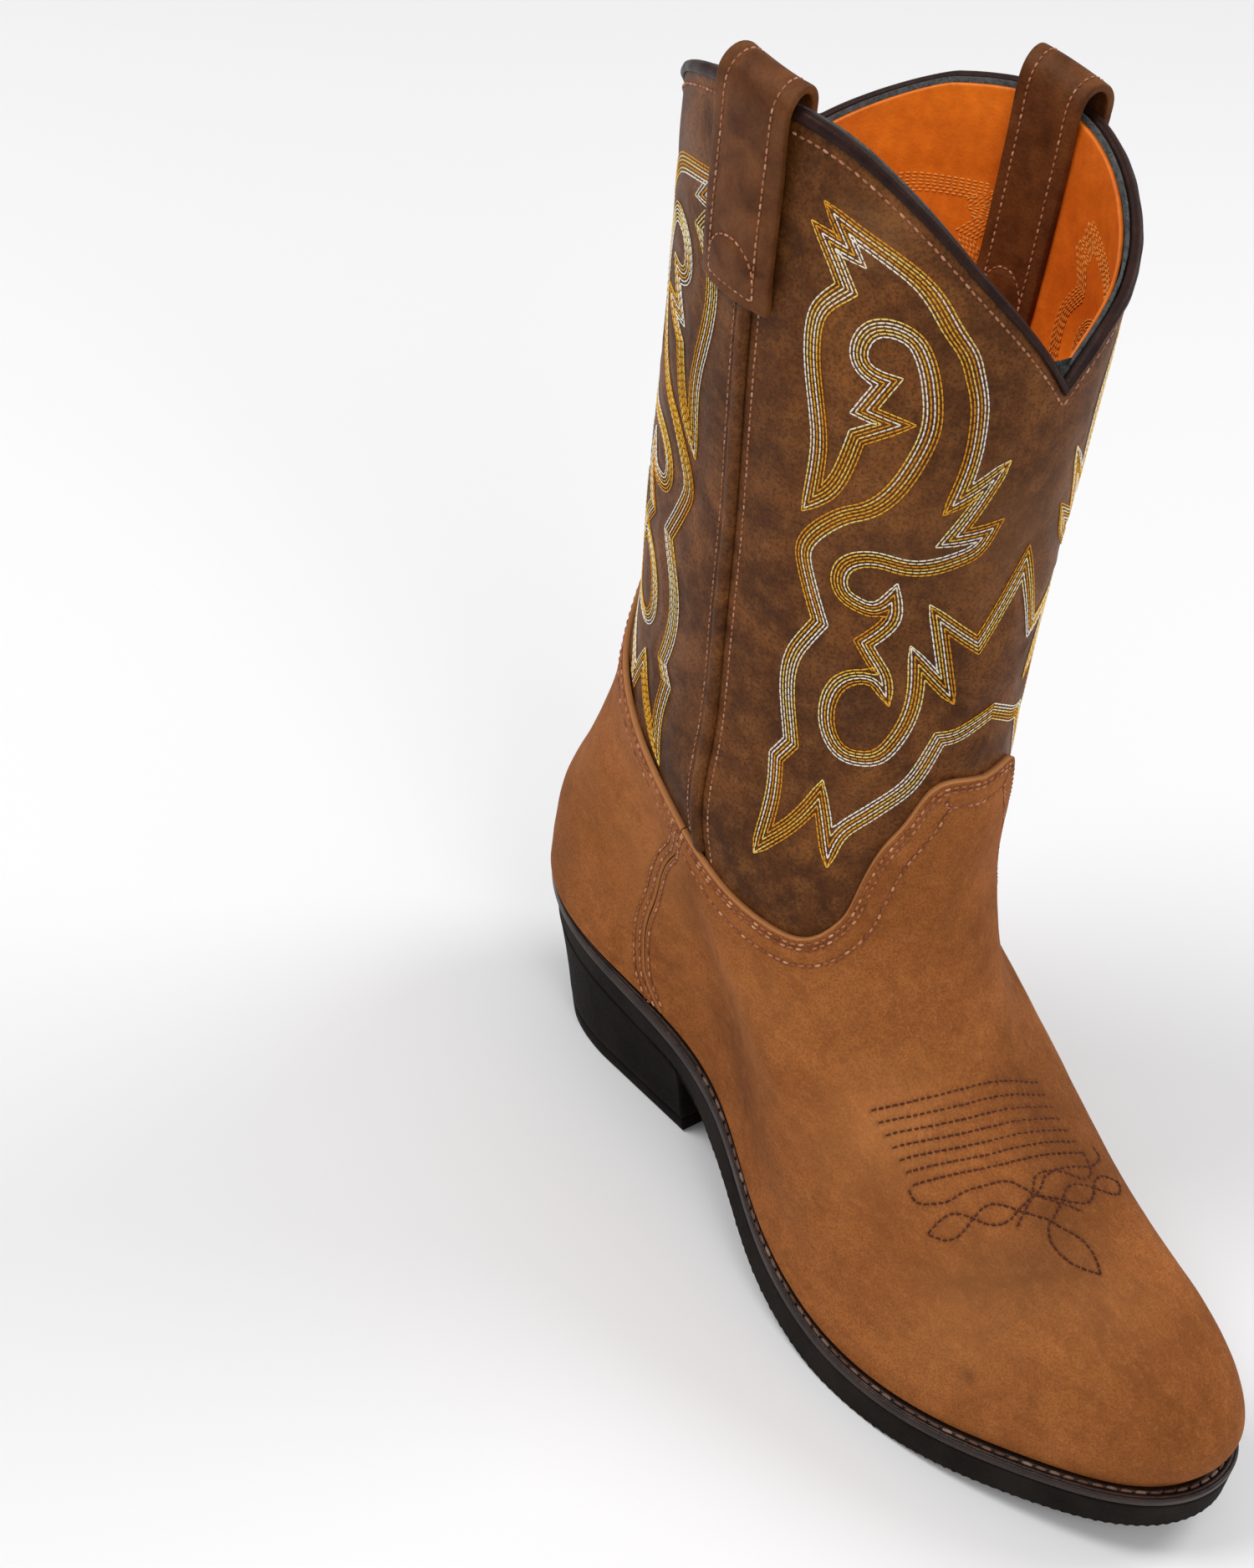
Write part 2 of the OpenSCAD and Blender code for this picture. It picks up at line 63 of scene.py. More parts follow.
# Each layer's two faces, mm out from the surface
FOOT_SKIN = (0.6, 2.4)
SHAFT_SKIN = (-1.2, 0.0)
FOOT_LINING = (-2.7, -1.7)
SHAFT_BACKING = (-3.4, -2.4)
SHAFT_LINING = (-4.8, -3.8)
STRAP_OUT, STRAP_IN = 3.5, -6.6
STRAP_W, STRAP_T, LOOP_RISE = 25.0, 2.4, 8.0
COLLAR, LEAN, FRONT_DIP, BACK_DIP = 362.0, 24.0, 62.0, 56.0
NEAR_SINK, FAR_SAG, FRONT_PULL = 3.2, 10.5, 3.0
SOLE_DEPTH, CAP_T = 13.7, 5.5
HEEL_BACK, HEEL_FRONT, HEEL_HALF, HEEL_CORNER, BREAST_S = 29.0, 101.0, 29.5, 34.0, 0.312
SIDE_SEAM = 92.5


class Curve:
    """Natural cubic spline through values at knots."""

    def __init__(self, knots, values):
        k, v = np.asarray(knots, float), np.asarray(values, float)
        n, h = len(k), np.diff(k)
        a, r = np.eye(n), np.zeros_like(v)
        for i in range(1, n - 1):
            a[i, i - 1 : i + 2] = h[i - 1] / 6, (h[i - 1] + h[i]) / 3, h[i] / 6
            r[i] = (v[i + 1] - v[i]) / h[i] - (v[i] - v[i - 1]) / h[i - 1]
        self.k, self.v, self.m = k, v, np.linalg.solve(a, r)

    def __call__(self, x):
        x = np.asarray(x, float)
        i = np.clip(np.searchsorted(self.k, x, "right") - 1, 0, len(self.k) - 2)
        h = self.k[i + 1] - self.k[i]
        b = (x - self.k[i]) / h
        if self.v.ndim > 1:
            h, b = h[..., None], b[..., None]
        a = 1 - b
        bend = (a**3 - a) * self.m[i] + (b**3 - b) * self.m[i + 1]
        return a * self.v[i] + b * self.v[i + 1] + bend * h * h / 6


# Plan of the foot against the share of its length, and profiles of its seams against the angle
OUTLINE_S = [0, 0.12, 0.27, 0.38, 0.52, 0.67, 0.82, 0.91, 1]
ROW = Curve(range(len(ROWS)), ROWS)
OUTER = Curve(OUTLINE_S, [65, 53, 36, 32, 43, 50.5, 53, 53, 57])
INNER = Curve(OUTLINE_S, [65, 52, 36.5, 32, 44.5, 49.5, 45, 45, 57])
BASE = Curve([0, 40, 70, 110, 150, 200, 250, 305], [52, 49, 46, 38, 24.5, 13.5, 17.5, 27.5])
MARGIN = Curve([0, 0.1, 0.35, 0.7, 1], [1.5, 3, 5, 5, 8])
SEAM = Curve([0, 0.8, 2, 3.2, 4.4, 5.6, 6.6], [65, 60.5, 59, 60.5, 64.5, 75, 87])
VAMP = Curve([87, 104, 116, 128, 138, 143, 147, 153, 158, 164, 172, 180],
             [6.6, 6.5, 6.55, 6.68, 6.95, 7.25, 7.75, 8.15, 8.45, 8.6, 8.62, 8.6])
COUNTER = Curve([0, 12, 20, 28, 36, 50, 70, 87], [8, 7.95, 7.75, 7.45, 7.25, 7.1, 6.85, 6.6])


def mix(a, b, f):
    """A share f of the way from a to b."""
    return a + (b - a) * f


def ease(x):
    """Smooth step from 0 at x = 0 to 1 at x = 1."""
    u = np.clip(x, 0, 1)
    return u * u * (3 - 2 * u)


def sin(a):
    return np.sin(np.radians(a))


def cos(a):
    return np.cos(np.radians(a))


def unit(v):
    return v / np.maximum(np.linalg.norm(v, axis=-1, keepdims=True), 1e-9)


def skew(s):
    """How far the toe turns to the inner side."""
    return 7 * ease((s - 0.62) / 0.38)


def along(a):
    """Share of the boot's length at an angle: 0 at the back, 1 at the front."""
    return (1 - cos(a)) / 2


def fullness(a, s):
    return np.where(sin(a) >= 0, OUTER(s), INNER(s))


def skin(a, t):
    """Point of the upper's surface."""
    a, t = np.broadcast_arrays(np.asarray(a, float), np.asarray(t, float))
    xb, zb, xf, zf, w, m, follow = np.moveaxis(ROW(t), -1, 0)
    m, follow, s = np.clip(m, 0, 1), np.clip(follow, 0, 1), along(a)
    x = mix(xb, xf, s)
    y = -sin(a) * mix(fullness(a, s), w, m) + (1 - m) ** 3 * skew(s)
    z = mix(zb, zf, s) + follow * (BASE(x) - mix(BASE(xb), BASE(xf), s))
    return np.stack([x, y, z], -1)


def outward(a, t):
    return unit(np.cross(skin(a + 0.5, t) - skin(a - 0.5, t),
                         skin(a, t + 0.02) - skin(a, np.maximum(t - 0.02, 0))))


def layer_point(a, t, off):
    return skin(a, t) + np.asarray(off)[..., None] * outward(a, t)


def level_at(a, z):
    """Level at which the surface has height z at angle a, on the shaft."""
    a, z = np.broadcast_arrays(np.asarray(a, float), np.asarray(z, float))
    lo, hi = np.full(a.shape, 6.0), np.full(a.shape, 13.0)
    for _ in range(18):
        mid = (lo + hi) / 2
        low = skin(a, mid)[..., 2] < z
        lo, hi = np.where(low, mid, lo), np.where(low, hi, mid)
    return (lo + hi) / 2


def from_back(a):
    """Degrees from the back, the shorter way round."""
    return np.abs((np.asarray(a, float) + 180) % 360 - 180)


def collar_z(a):
    """Height of the collar's edge."""
    q = from_back(a)
    # Worn leather: the near side sinks a little, the far side sags behind, the front's V is pulled up
    near = NEAR_SINK * ease((120 - q) / 35) * ease(q / 25)
    far = FAR_SAG * np.clip((60 - q) / 34, 0, 1) ** 1.3 * ease(q / 16)
    side = np.where(sin(a) >= 0, near, LEAN * ease(sin(-np.asarray(a, float))) + far)
    side = side - FRONT_PULL * ease((q - 145) / 30)
    dip = np.where(q > 97, FRONT_DIP * (1 - cos((q - 97) * 90 / 83)),
                   BACK_DIP * (1 - cos((97 - q) * 90 / 97)))
    return COLLAR - side - dip


def collar_level(a, below):
    return level_at(a, collar_z(a) - below)


def seam_angle(t):
    return SEAM(np.clip(t, 0, 6.6))


def vamp_top(a):
    return VAMP(np.clip(from_back(a), 87, 180))


def counter_top(a):
    return COUNTER(np.clip(from_back(a), 0, 87))


# Girth of the shaft at its middle, from the back round to the front: embroidery is drawn flat
GIRTH_A = np.arange(0, 181, 1.0)
GIRTH = np.r_[0, np.cumsum(np.linalg.norm(np.diff(skin(GIRTH_A, 10.0), axis=0), axis=1))]


def flat_to_skin(x, z, back=False):
    """Point of a panel's flat drawing, x mm from its middle line and z mm up, on the surface."""
    reach = np.abs(x) if back else GIRTH[-1] - np.abs(x)
    a = np.interp(reach, GIRTH, GIRTH_A)
    a = np.where(x < 0, -a if back else 360 - a, a)
    low = np.where(sin(a) < 0, LEAN * ease(sin(-a)) * ease((z - 180) / 150), 0)
    return a, level_at(a, z - low)


def plan_to_skin(x, y):
    """Top of the foot at plan position x, y."""
    a = np.full(np.shape(x), 150.0) + (np.asarray(y, float) + 30) * 1.2
    t = np.full(np.shape(x), 4.0)
    for _ in range(40):
        p = skin(a, t)
        da = (skin(a + 0.2, t) - p) / 0.2
        dt = (skin(a, t + 0.02) - p) / 0.02
        det = da[..., 0] * dt[..., 1] - da[..., 1] * dt[..., 0]
        ex, ey = x - p[..., 0], y - p[..., 1]
        a = a + np.clip((ex * dt[..., 1] - ey * dt[..., 0]) / det, -4, 4)
        t = np.clip(t + np.clip((da[..., 0] * ey - da[..., 1] * ex) / det, -0.3, 0.3), 0.2, 8)
    return a, t


def shifted(a, t, d, steps=6):
    """The line a, t moved d mm to its left along the surface (right if d is negative)."""
    for _ in range(steps):
        p = skin(a, t)
        side = unit(np.cross(outward(a, t), np.gradient(p, axis=0)))
        da = (skin(a + 0.2, t) - skin(a - 0.2, t)) / 0.4
        dt = skin(a, t + 0.02) - skin(a, np.maximum(t - 0.02, 0))
        dt = dt / np.where(t > 0.02, 0.04, 0.02)[..., None]
        g11, g12, g22 = (da * da).sum(-1), (da * dt).sum(-1), (dt * dt).sum(-1)
        r1, r2 = (da * side).sum(-1) * d / steps, (dt * side).sum(-1) * d / steps
        det = g11 * g22 - g12 * g12
        a, t = a + (r1 * g22 - r2 * g12) / det, t + (r2 * g11 - r1 * g12) / det
    return a, t


# --- meshes


def new_mesh(name, verts, faces):
    """Mesh object from points in mm and a list of face arrays, each of one face size."""
    name += "_visual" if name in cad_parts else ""
    me = bpy.data.meshes.new(name)
    faces = [np.asarray(f, np.int32) for f in faces if len(f)]
    me.vertices.add(len(verts))
    me.vertices.foreach_set("co", ((np.asarray(verts) - MIDDLE) * MM).astype(np.float32).ravel())
    sizes = np.concatenate([np.full(len(f), f.shape[1]) for f in faces])
    me.loops.add(int(sizes.sum()))
    me.loops.foreach_set("vertex_index", np.concatenate([f.ravel() for f in faces]))
    me.polygons.add(len(sizes))
    me.polygons.foreach_set("loop_start", np.r_[0, np.cumsum(sizes)[:-1]].astype(np.int32))
    me.polygons.foreach_set("use_smooth", np.ones(len(sizes), bool))
    me.update(calc_edges=True)
    o = bpy.data.objects.new(name, me)
    bpy.context.scene.collection.objects.link(o)
    return o


def give(o, name, values):
    """Point attribute for the material to read."""
    at = o.data.attributes.new(name, "FLOAT", "POINT")
    at.data.foreach_set("value", np.asarray(values, np.float32).ravel())


def finish_piece(o, mat, slot, body="root"):
    """Gives a piece its material and body; slot is not used. One named after a CAD node stands in for it.
    """
    nodes = [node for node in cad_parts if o.name == node + "_visual"]
    o.data.materials.append(mat)
    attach(o, body)
    if nodes:
        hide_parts(*nodes)
    return o


def grid_quads(idx, flip=False):
    q = np.stack([idx[:-1, :-1], idx[1:, :-1], idx[1:, 1:], idx[:-1, 1:]], -1).reshape(-1, 4)
    return q[:, ::-1] if flip else q


def shell_faces(n, m, k):
    """Faces of a closed leaf: a fine outer grid, and an inner one with every k-th line."""
    idx = np.arange((n + 1) * (m + 1)).reshape(n + 1, m + 1)
    keep = np.zeros((n + 1, m + 1), bool)
    keep[::k, ::k] = keep[0] = keep[-1] = keep[:, 0] = keep[:, -1] = True
    jdx = np.full((n + 1, m + 1), -1)
    jdx[keep] = (n + 1) * (m + 1) + np.arange(keep.sum())
    i, j = np.arange(n), np.arange(m)
    quads = [grid_quads(idx),
             np.stack([idx[i + 1, 0], idx[i, 0], jdx[i, 0], jdx[i + 1, 0]], -1),
             np.stack([idx[i, m], idx[i + 1, m], jdx[i + 1, m], jdx[i, m]], -1),
             np.stack([idx[0, j], idx[0, j + 1], jdx[0, j + 1], jdx[0, j]], -1),
             np.stack([idx[n, j + 1], idx[n, j], jdx[n, j], jdx[n, j + 1]], -1)]
    by_size = {4: quads}
    for i0 in range(0, n, k):
        for j0 in range(0, m, k):
            i1, j1 = i0 + k, j0 + k
            left = range(j0, j1) if i0 == 0 else [j0]
            right = range(j1, j0, -1) if i1 == n else [j1]
            top = range(i0, i1) if j1 == m else [i0]
            low = range(i1, i0, -1) if j0 == 0 else [i1]
            loop = [jdx[i0, q] for q in left] + [jdx[q, j1] for q in top]
            loop += [jdx[i1, q] for q in right] + [jdx[q, j0] for q in low]
            by_size.setdefault(len(loop), []).append(np.array([loop]))
    return [np.concatenate(f) for f in by_size.values()], keep


def border(p):
    """Distance in mm along the grid from each point to the nearest side."""
    i = np.zeros(p.shape[:2])
    j = np.zeros(p.shape[:2])
    i[1:] = np.cumsum(np.linalg.norm(np.diff(p, axis=0), axis=2), axis=0)
    j[:, 1:] = np.cumsum(np.linalg.norm(np.diff(p, axis=1), axis=2), axis=1)
    return np.minimum.reduce([i, i[-1:] - i, j, j[:, -1:] - j])


def spaced(length, step, rim):
    """Shares from 0 to 1, step mm apart and closer at the ends, in a multiple of 4 spans."""
    spans = 4 * max(3, round(length / step / 4))
    ends = np.array([0, 0.12, 0.45]) * rim
    middle = np.linspace(rim, length - rim, spans - 5)
    return np.r_[ends, middle, length - ends[::-1]] / length


def round_off(near, rim):
    """Depth of a round edge of radius rim, near mm in from the cut."""
    return rim - np.sqrt(np.maximum(rim**2 - (rim - np.minimum(near, rim)) ** 2, 0))


def leaf(name, fine, coarse, mat, slot, k=4, inward=False, **marks):
    """A closed leaf from the grid of its fine side and that of its other side, which keeps every
    k-th line. A mark is a grid of values, or a pair of such a grid and one value for the other side."""
    faces, keep = shell_faces(fine.shape[0] - 1, fine.shape[1] - 1, k)
    if inward:
        faces = [f[:, ::-1] for f in faces]
    o = new_mesh(name, np.concatenate([fine.reshape(-1, 3), coarse[keep]]), faces)
    for key, mark in marks.items():
        values, other = mark if isinstance(mark, tuple) else (mark, mark[keep])
        give(o, key, np.r_[values.ravel(), np.broadcast_to(other, keep.sum())])
    return finish_piece(o, mat, slot)


def field(a0, a1, lo, hi, length, height, step, rim=0.6):
    """Grid of angles and levels: the levels lie between lo and hi, two functions of the angle."""
    u, v = spaced(length, step, rim), spaced(height, step, rim)
    a = np.repeat(mix(a0, a1, u)[:, None], len(v), 1)
    low, high = lo(a[:, 0]), hi(a[:, 0])
    return a, mix(low[:, None], high[:, None], v[None, :])


# --- stitches


class Rows:
    """Sample points of stitch rows, so that the leather can sink along them."""

    def __init__(self):
        self.points = []

    def add(self, p, every=2):
        self.points.append(p.reshape(-1, 3)[::every])

    def distance(self, p):
        pts = np.concatenate(self.points)
        tree = KDTree(len(pts))
        for i, q in enumerate(pts):
            tree.insert(q, i)
        tree.balance()
        flat = p.reshape(-1, 3)
        return np.fromiter((tree.find(q)[2] for q in flat), float, len(flat)).reshape(p.shape[:-1])


def resample(p, n, step):
    """Points and normals every step mm along a line."""
    s = np.r_[0, np.cumsum(np.linalg.norm(np.diff(p, axis=0), axis=1))]
    q = np.linspace(0, s[-1], max(2, int(round(s[-1] / step)) + 1))
    return (np.stack([np.interp(q, s, p[:, c]) for c in range(3)], -1),
            unit(np.stack([np.interp(q, s, n[:, c]) for c in range(3)], -1)), q)


class Thread:
    """Collects stitches, and makes them one mesh: each is a plump bead that dips at its ends."""

    def __init__(self, sides=5, rings=(0.16, 0.5, 0.84)):
        self.sides, self.rings, self.rows = sides, rings, []

    def row(self, p, n, pitch, width, high, fill=0.86, lift=0.1, tone=0.0, sink=0.3, wander=0.0):
        """One row along points p with normals n: pitch from stitch to stitch, fill the share of it
        that is thread, lift of a stitch's middle, sink of its ends, wander to the sides, and tone
        of the thread, a number or a function of the way."""
        q, m, s = resample(p, n, pitch)
        if len(q) < 2:
            return
        gap = (1 - fill) / 2
        a, b = mix(q[:-1], q[1:], gap), mix(q[:-1], q[1:], 1 - gap)
        m = unit(m[:-1] + m[1:])
        if wander:
            rng = np.random.default_rng(len(q))
            side = unit(np.cross(m, b - a))
            a = a + side * rng.normal(0, wander, (len(a), 1))
            b = b + side * rng.normal(0, wander, (len(a), 1))
        mid = (s[:-1] + s[1:]) / 2
        tones = tone(mid) if callable(tone) else np.full(len(mid), float(tone))
        self.rows.append((a, b, m, np.full(len(a), width), np.full(len(a), high),
                          np.full(len(a), lift), np.full(len(a), sink), tones))

    def line(self, a, t, off, **kind):
        """A row along a line of the upper's surface, off mm out from it."""
        self.row(layer_point(a, t, np.full(np.shape(a), off)), outward(a, t), **kind)

    def build(self, name, mat):
        a, b, m, w, h, lift, sink, tone = [np.concatenate(c) for c in zip(*self.rows)]
        d, side = b - a, unit(np.cross(m, b - a))
        turn = np.linspace(0, 2 * np.pi, self.sides, endpoint=False)
        verts = [a - m * sink[:, None]]
        for f in self.rings:
            full = math.sin(math.pi * min(max(f, 0.2), 0.8)) ** 0.5
            c = a + d * f + m * (lift * math.sin(math.pi * f) ** 0.6)[:, None]
            for r in turn:
                verts.append(c + side * (math.cos(r) * w / 2 * full)[:, None]
                             + m * (math.sin(r) * h / 2 * full)[:, None])
        verts.append(b - m * sink[:, None])
        per, n, k = len(verts), len(a), self.sides
        quads, tris = [], []
        for r in range(len(self.rings) - 1):
            for c in range(k):
                e = (c + 1) % k
                quads.append([1 + r * k + c, 1 + r * k + e, 1 + (r + 1) * k + e, 1 + (r + 1) * k + c])
        for c in range(k):
            e = (c + 1) % k
            tris.append([0, 1 + e, 1 + c])
            last = 1 + (len(self.rings) - 1) * k
            tris.append([per - 1, last + c, last + e])
        base = (np.arange(n) * per)[:, None, None]
        o = new_mesh(name, np.stack(verts, 1).reshape(-1, 3),
                     [(base + np.array(quads)).reshape(-1, 4), (base + np.array(tris)).reshape(-1, 3)])
        give(o, "tone", np.repeat(tone, per))
        return finish_piece(o, mat, "thread")


def flow(s):
    """Slow change of a thread's tone on its way."""
    return 0.5 + 0.5 * np.sin(s * 0.9) * np.sin(s * 0.37 + 1)


EDGE_STITCH = dict(pitch=2.5, width=0.86, high=0.66, fill=0.82, lift=0.16, tone=flow, wander=0.06)
SEAM_STITCH = dict(EDGE_STITCH, pitch=2.6)
TOE_STITCH = dict(pitch=2.1, width=0.72, high=0.6, fill=0.9, wander=0.06)
SCROLL_STITCH = dict(width=0.46, high=0.4, fill=0.975, lift=0.05, sink=0.06, wander=0.02)
TONAL_STITCH = dict(pitch=2.0, width=0.6, high=0.34, fill=0.86, lift=0.06, tone=0.5, sink=0.25)
LINING_STITCH = dict(pitch=2.1, width=0.6, high=0.4, fill=0.86, lift=0.1, tone=0.7, sink=0.3)
SIDE_STITCH = dict(pitch=2.1, width=0.72, high=0.56, fill=0.84, lift=0.12, tone=flow, wander=0.05)
STRAP_STITCH = dict(SIDE_STITCH, wander=0.04)
COLLAR_STITCH = dict(SIDE_STITCH, pitch=2.4, width=0.8, high=0.62, fill=0.82)
WELT_STITCH = dict(pitch=4.1, width=1.15, high=0.95, fill=0.86, lift=0.2, sink=0.7, wander=0.08)
SOLE_STITCH = dict(pitch=4.3, width=0.95, high=0.8, fill=0.84, lift=0.15, tone=flow, sink=0.5)


# --- materials


def rgba(colour):
    """A colour with alpha 1. A socket stays as it is."""
    return (*colour, 1) if isinstance(colour, tuple) else colour


class Look:
    """Builds one procedural material. Texture positions are the boot's own, in metres."""

    def __init__(self, name):
        self.mat = bpy.data.materials.new(name)
        self.mat.use_nodes = True
        self.tree = self.mat.node_tree
        self.tree.nodes.clear()
        self.at = self.node("TexCoord", out="Object")

    def node(self, kind, inputs=None, out=0, **props):
        n = self.tree.nodes.new("ShaderNode" + kind)
        for key, value in props.items():
            setattr(n, key, value)
        for key, value in (inputs or {}).items():
            if isinstance(value, bpy.types.NodeSocket):
                self.tree.links.new(value, n.inputs[key])
            else:
                n.inputs[key].default_value = value
        return n.outputs[out]

    def stretched(self, by):
        return self.node("Mapping", {"Vector": self.at, "Scale": by}, "Vector")

    def noise(self, scale, detail=4.0, rough=0.55, at=None, warp=0.0):
        return self.node("TexNoise", {"Vector": at or self.at, "Scale": scale, "Detail": detail,
                                      "Roughness": rough, "Distortion": warp}, 0)

    def cells(self, scale, feature="F1"):
        return self.node("TexVoronoi", {"Vector": self.at, "Scale": scale}, "Distance", feature=feature)

    def value(self, name):
        return self.node("Attribute", out="Fac", attribute_name=name)

    def math(self, op, a, b=0.0, clamp=False):
        return self.node("Math", {0: a, 1: b}, operation=op, use_clamp=clamp)

    def span(self, x, a, b, c=0.0, d=1.0):
        return self.node("MapRange", {0: x, 1: a, 2: b, 3: c, 4: d}, 0)

    def ramp(self, fac, *stops):
        n = self.tree.nodes.new("ShaderNodeValToRGB")
        self.tree.links.new(fac, n.inputs[0])
        while len(n.color_ramp.elements) < len(stops):
            n.color_ramp.elements.new(0.5)
        for e, (pos, colour) in zip(n.color_ramp.elements, stops):
            e.position, e.color = pos, (*colour, 1)
        return n.outputs[0]

    def mix(self, fac, a, b, blend="MIX"):
        ins = {0: fac, 6: rgba(a), 7: rgba(b)}
        return self.node("Mix", ins, 2, data_type="RGBA", blend_type=blend)

    def bump(self, height, strength, distance, under=None):
        ins = {"Height": height, "Strength": strength, "Distance": distance}
        if under is not None:
            ins["Normal"] = under
        return self.node("Bump", ins)

    def done(self, colour, rough, normal=None, metal=0.0, shine=0.5):
        ins = {"Base Color": rgba(colour), "Roughness": rough, "Metallic": metal,
               "Specular IOR Level": shine}
        if normal is not None:
            ins["Normal"] = normal
        surface = self.node("BsdfPrincipled", ins)
        end = self.tree.nodes.new("ShaderNodeOutputMaterial")
        self.tree.links.new(surface, end.inputs[0])
        return self.mat


def nubuck():
    """Brushed, mottled leather of the foot."""
    k = Look("vamp_leather")
    patches = k.noise(20, 5, 0.62, warp=0.6)
    mottle = k.noise(130, 5, 0.7, warp=0.5)
    brushed = k.noise(1, 6, 0.72, at=k.stretched((150, 420, 420)))
    fine = k.noise(1500, 3, 0.65)
    base = k.ramp(patches, (0.28, (0.17, 0.052, 0.0125)), (0.5, (0.31, 0.101, 0.024)),
                  (0.74, (0.43, 0.147, 0.038)))
    base = k.mix(k.span(mottle, 0.45, 0.7, 0.0, 0.45), base, (0.15, 0.045, 0.012))
    base = k.mix(k.span(brushed, 0.5, 0.75, 0.0, 0.42), base, (0.48, 0.18, 0.055))
    base = k.mix(k.span(fine, 0.42, 0.62, 0.0, 0.5), base, (0.12, 0.037, 0.011))
    # Dark spots: real smudges, and painted shade on the foot's far side and at its back
    base = k.mix(k.math("MULTIPLY", k.value("stain"), 0.7), base, (0.04, 0.016, 0.007))
    base = k.mix(k.math("MULTIPLY", k.value("pale"), 0.35), base, (0.52, 0.22, 0.075))
    base = k.mix(k.span(k.value("rim"), 0.1, 0.45, 0.6, 0), base, (0.5, 0.23, 0.09))
    # Painted shade: the leather is darkened along its stitch rows, as the shadow in their grooves
    base = k.mix(k.math("MULTIPLY", k.value("sewn"), 0.62), base, (0.07, 0.02, 0.007))
    grain = k.bump(k.noise(1100, 4, 0.75), 0.4, 0.0004)
    grain = k.bump(mottle, 0.22, 0.0007, grain)
    return k.done(base, k.span(patches, 0.3, 0.7, 0.88, 0.76), grain, shine=0.1)


def shaft_leather():
    """Dark, crackled leather of the shaft."""
    k = Look("shaft_leather")
    cloud = k.noise(34, 5, 0.6, warp=0.8)
    small = k.noise(160, 4, 0.65)
    pores = k.cells(900)
    base = k.ramp(cloud, (0.3, (0.046, 0.0135, 0.003)), (0.5, (0.112, 0.0345, 0.0065)),
                  (0.7, (0.23, 0.076, 0.015)))
    base = k.mix(k.span(small, 0.45, 0.72, 0.0, 0.6), base, (0.24, 0.09, 0.022))
    base = k.mix(k.span(k.noise(1100, 4, 0.75), 0.46, 0.62, 0.0, 0.65), base, (0.032, 0.011, 0.003))
    # Painted shade: near its edges the panel is darkened almost to black, as the shadow beside the
    # piping, under the vamp's edge and under the binding
    base = k.mix(k.span(k.value("rim"), 1.6, 2.7, 0.85, 0), base, (0.008, 0.004, 0.002))
    base = k.mix(k.span(pores, 0.0, 0.35, 0.4, 0.0), base, (0.03, 0.017, 0.01))
    # On the shaft these dark spots are random stains only
    base = k.mix(k.math("MULTIPLY", k.value("stain"), 0.9), base, (0.02, 0.012, 0.008))
    base = k.mix(k.math("MULTIPLY", k.value("pale"), 0.5), base, (0.27, 0.135, 0.06))
    grain = k.bump(k.cells(420, "DISTANCE_TO_EDGE"), 0.28, 0.0005)
    grain = k.bump(k.noise(800, 4, 0.7), 0.25, 0.0003, grain)
    return k.done(base, k.span(cloud, 0.3, 0.7, 0.58, 0.46), grain, shine=0.12)


def plain_leather(name, dark, light, rough, scale, grain, depth, shine=0.4):
    """Leather of one colour: clouds of the given scale, and a grain of the given depth."""
    k = Look(name)
    cloud = k.noise(scale, 5, 0.62, warp=0.4)
    fine = k.noise(scale * 14, 3, 0.6)
    base = k.ramp(cloud, (0.32, dark), (0.68, light))
    base = k.mix(k.span(fine, 0.35, 0.7, 0.0, 0.3), base, tuple(c * 0.55 for c in dark))
    tilt = k.bump(k.cells(grain, "DISTANCE_TO_EDGE"), depth, 0.0004)
    tilt = k.bump(k.noise(grain * 1.5, 4, 0.75), depth, 0.0004, tilt)
    return k.done(base, k.span(cloud, 0.3, 0.7, rough + 0.07, rough - 0.05), tilt, shine=shine)


def fibres(name, dark, light, rough=0.95, scale=300.0):
    """Felt, board, canvas, cork and foam."""
    k = Look(name)
    hair = k.noise(1, 5, 0.75, at=k.stretched((scale, scale * 2.5, scale * 1.6)), warp=1.2)
    base = k.ramp(hair, (0.3, dark), (0.7, light))
    return k.done(base, rough, k.bump(hair, 0.7, 0.0006), shine=0.1)


def rubber(name, dark, light, rough, specks, shine, dust=0.8):
    """Rubber, dusty where it faces down."""
    k = Look(name)
    cloud, fine = k.noise(45, 4), k.noise(900, 4, 0.7)
    base = k.ramp(cloud, (0.35, dark), (0.65, light))
    base = k.mix(k.span(k.cells(900), 0.0, 0.16, specks, 0.0), base, (0.16, 0.15, 0.145))
    down = k.node("SeparateXYZ", {0: k.node("TexCoord", out="Normal")}, 2)
    ground = k.ramp(fine, (0.35, (0.045, 0.037, 0.036)), (0.65, (0.085, 0.07, 0.067)))
    base = k.mix(k.span(down, -0.55, -0.9, 0.0, dust), base, ground)
    tilt = k.bump(fine, 0.6, 0.0005)
    return k.done(base, k.span(fine, 0.3, 0.7, rough - 0.06, rough + 0.06), tilt, shine=shine)


def metal(name, colour, rough):
    """Brushed steel."""
    k = Look(name)
    brushed = k.noise(1, 4, 0.7, at=k.stretched((60, 1400, 1400)))
    base = k.mix(k.span(brushed, 0.3, 0.7), tuple(c * 0.7 for c in colour), colour)
    scratched = k.bump(brushed, 0.15, 0.0002)
    return k.done(base, k.span(brushed, 0.3, 0.7, rough, rough + 0.15), scratched, metal=1.0)


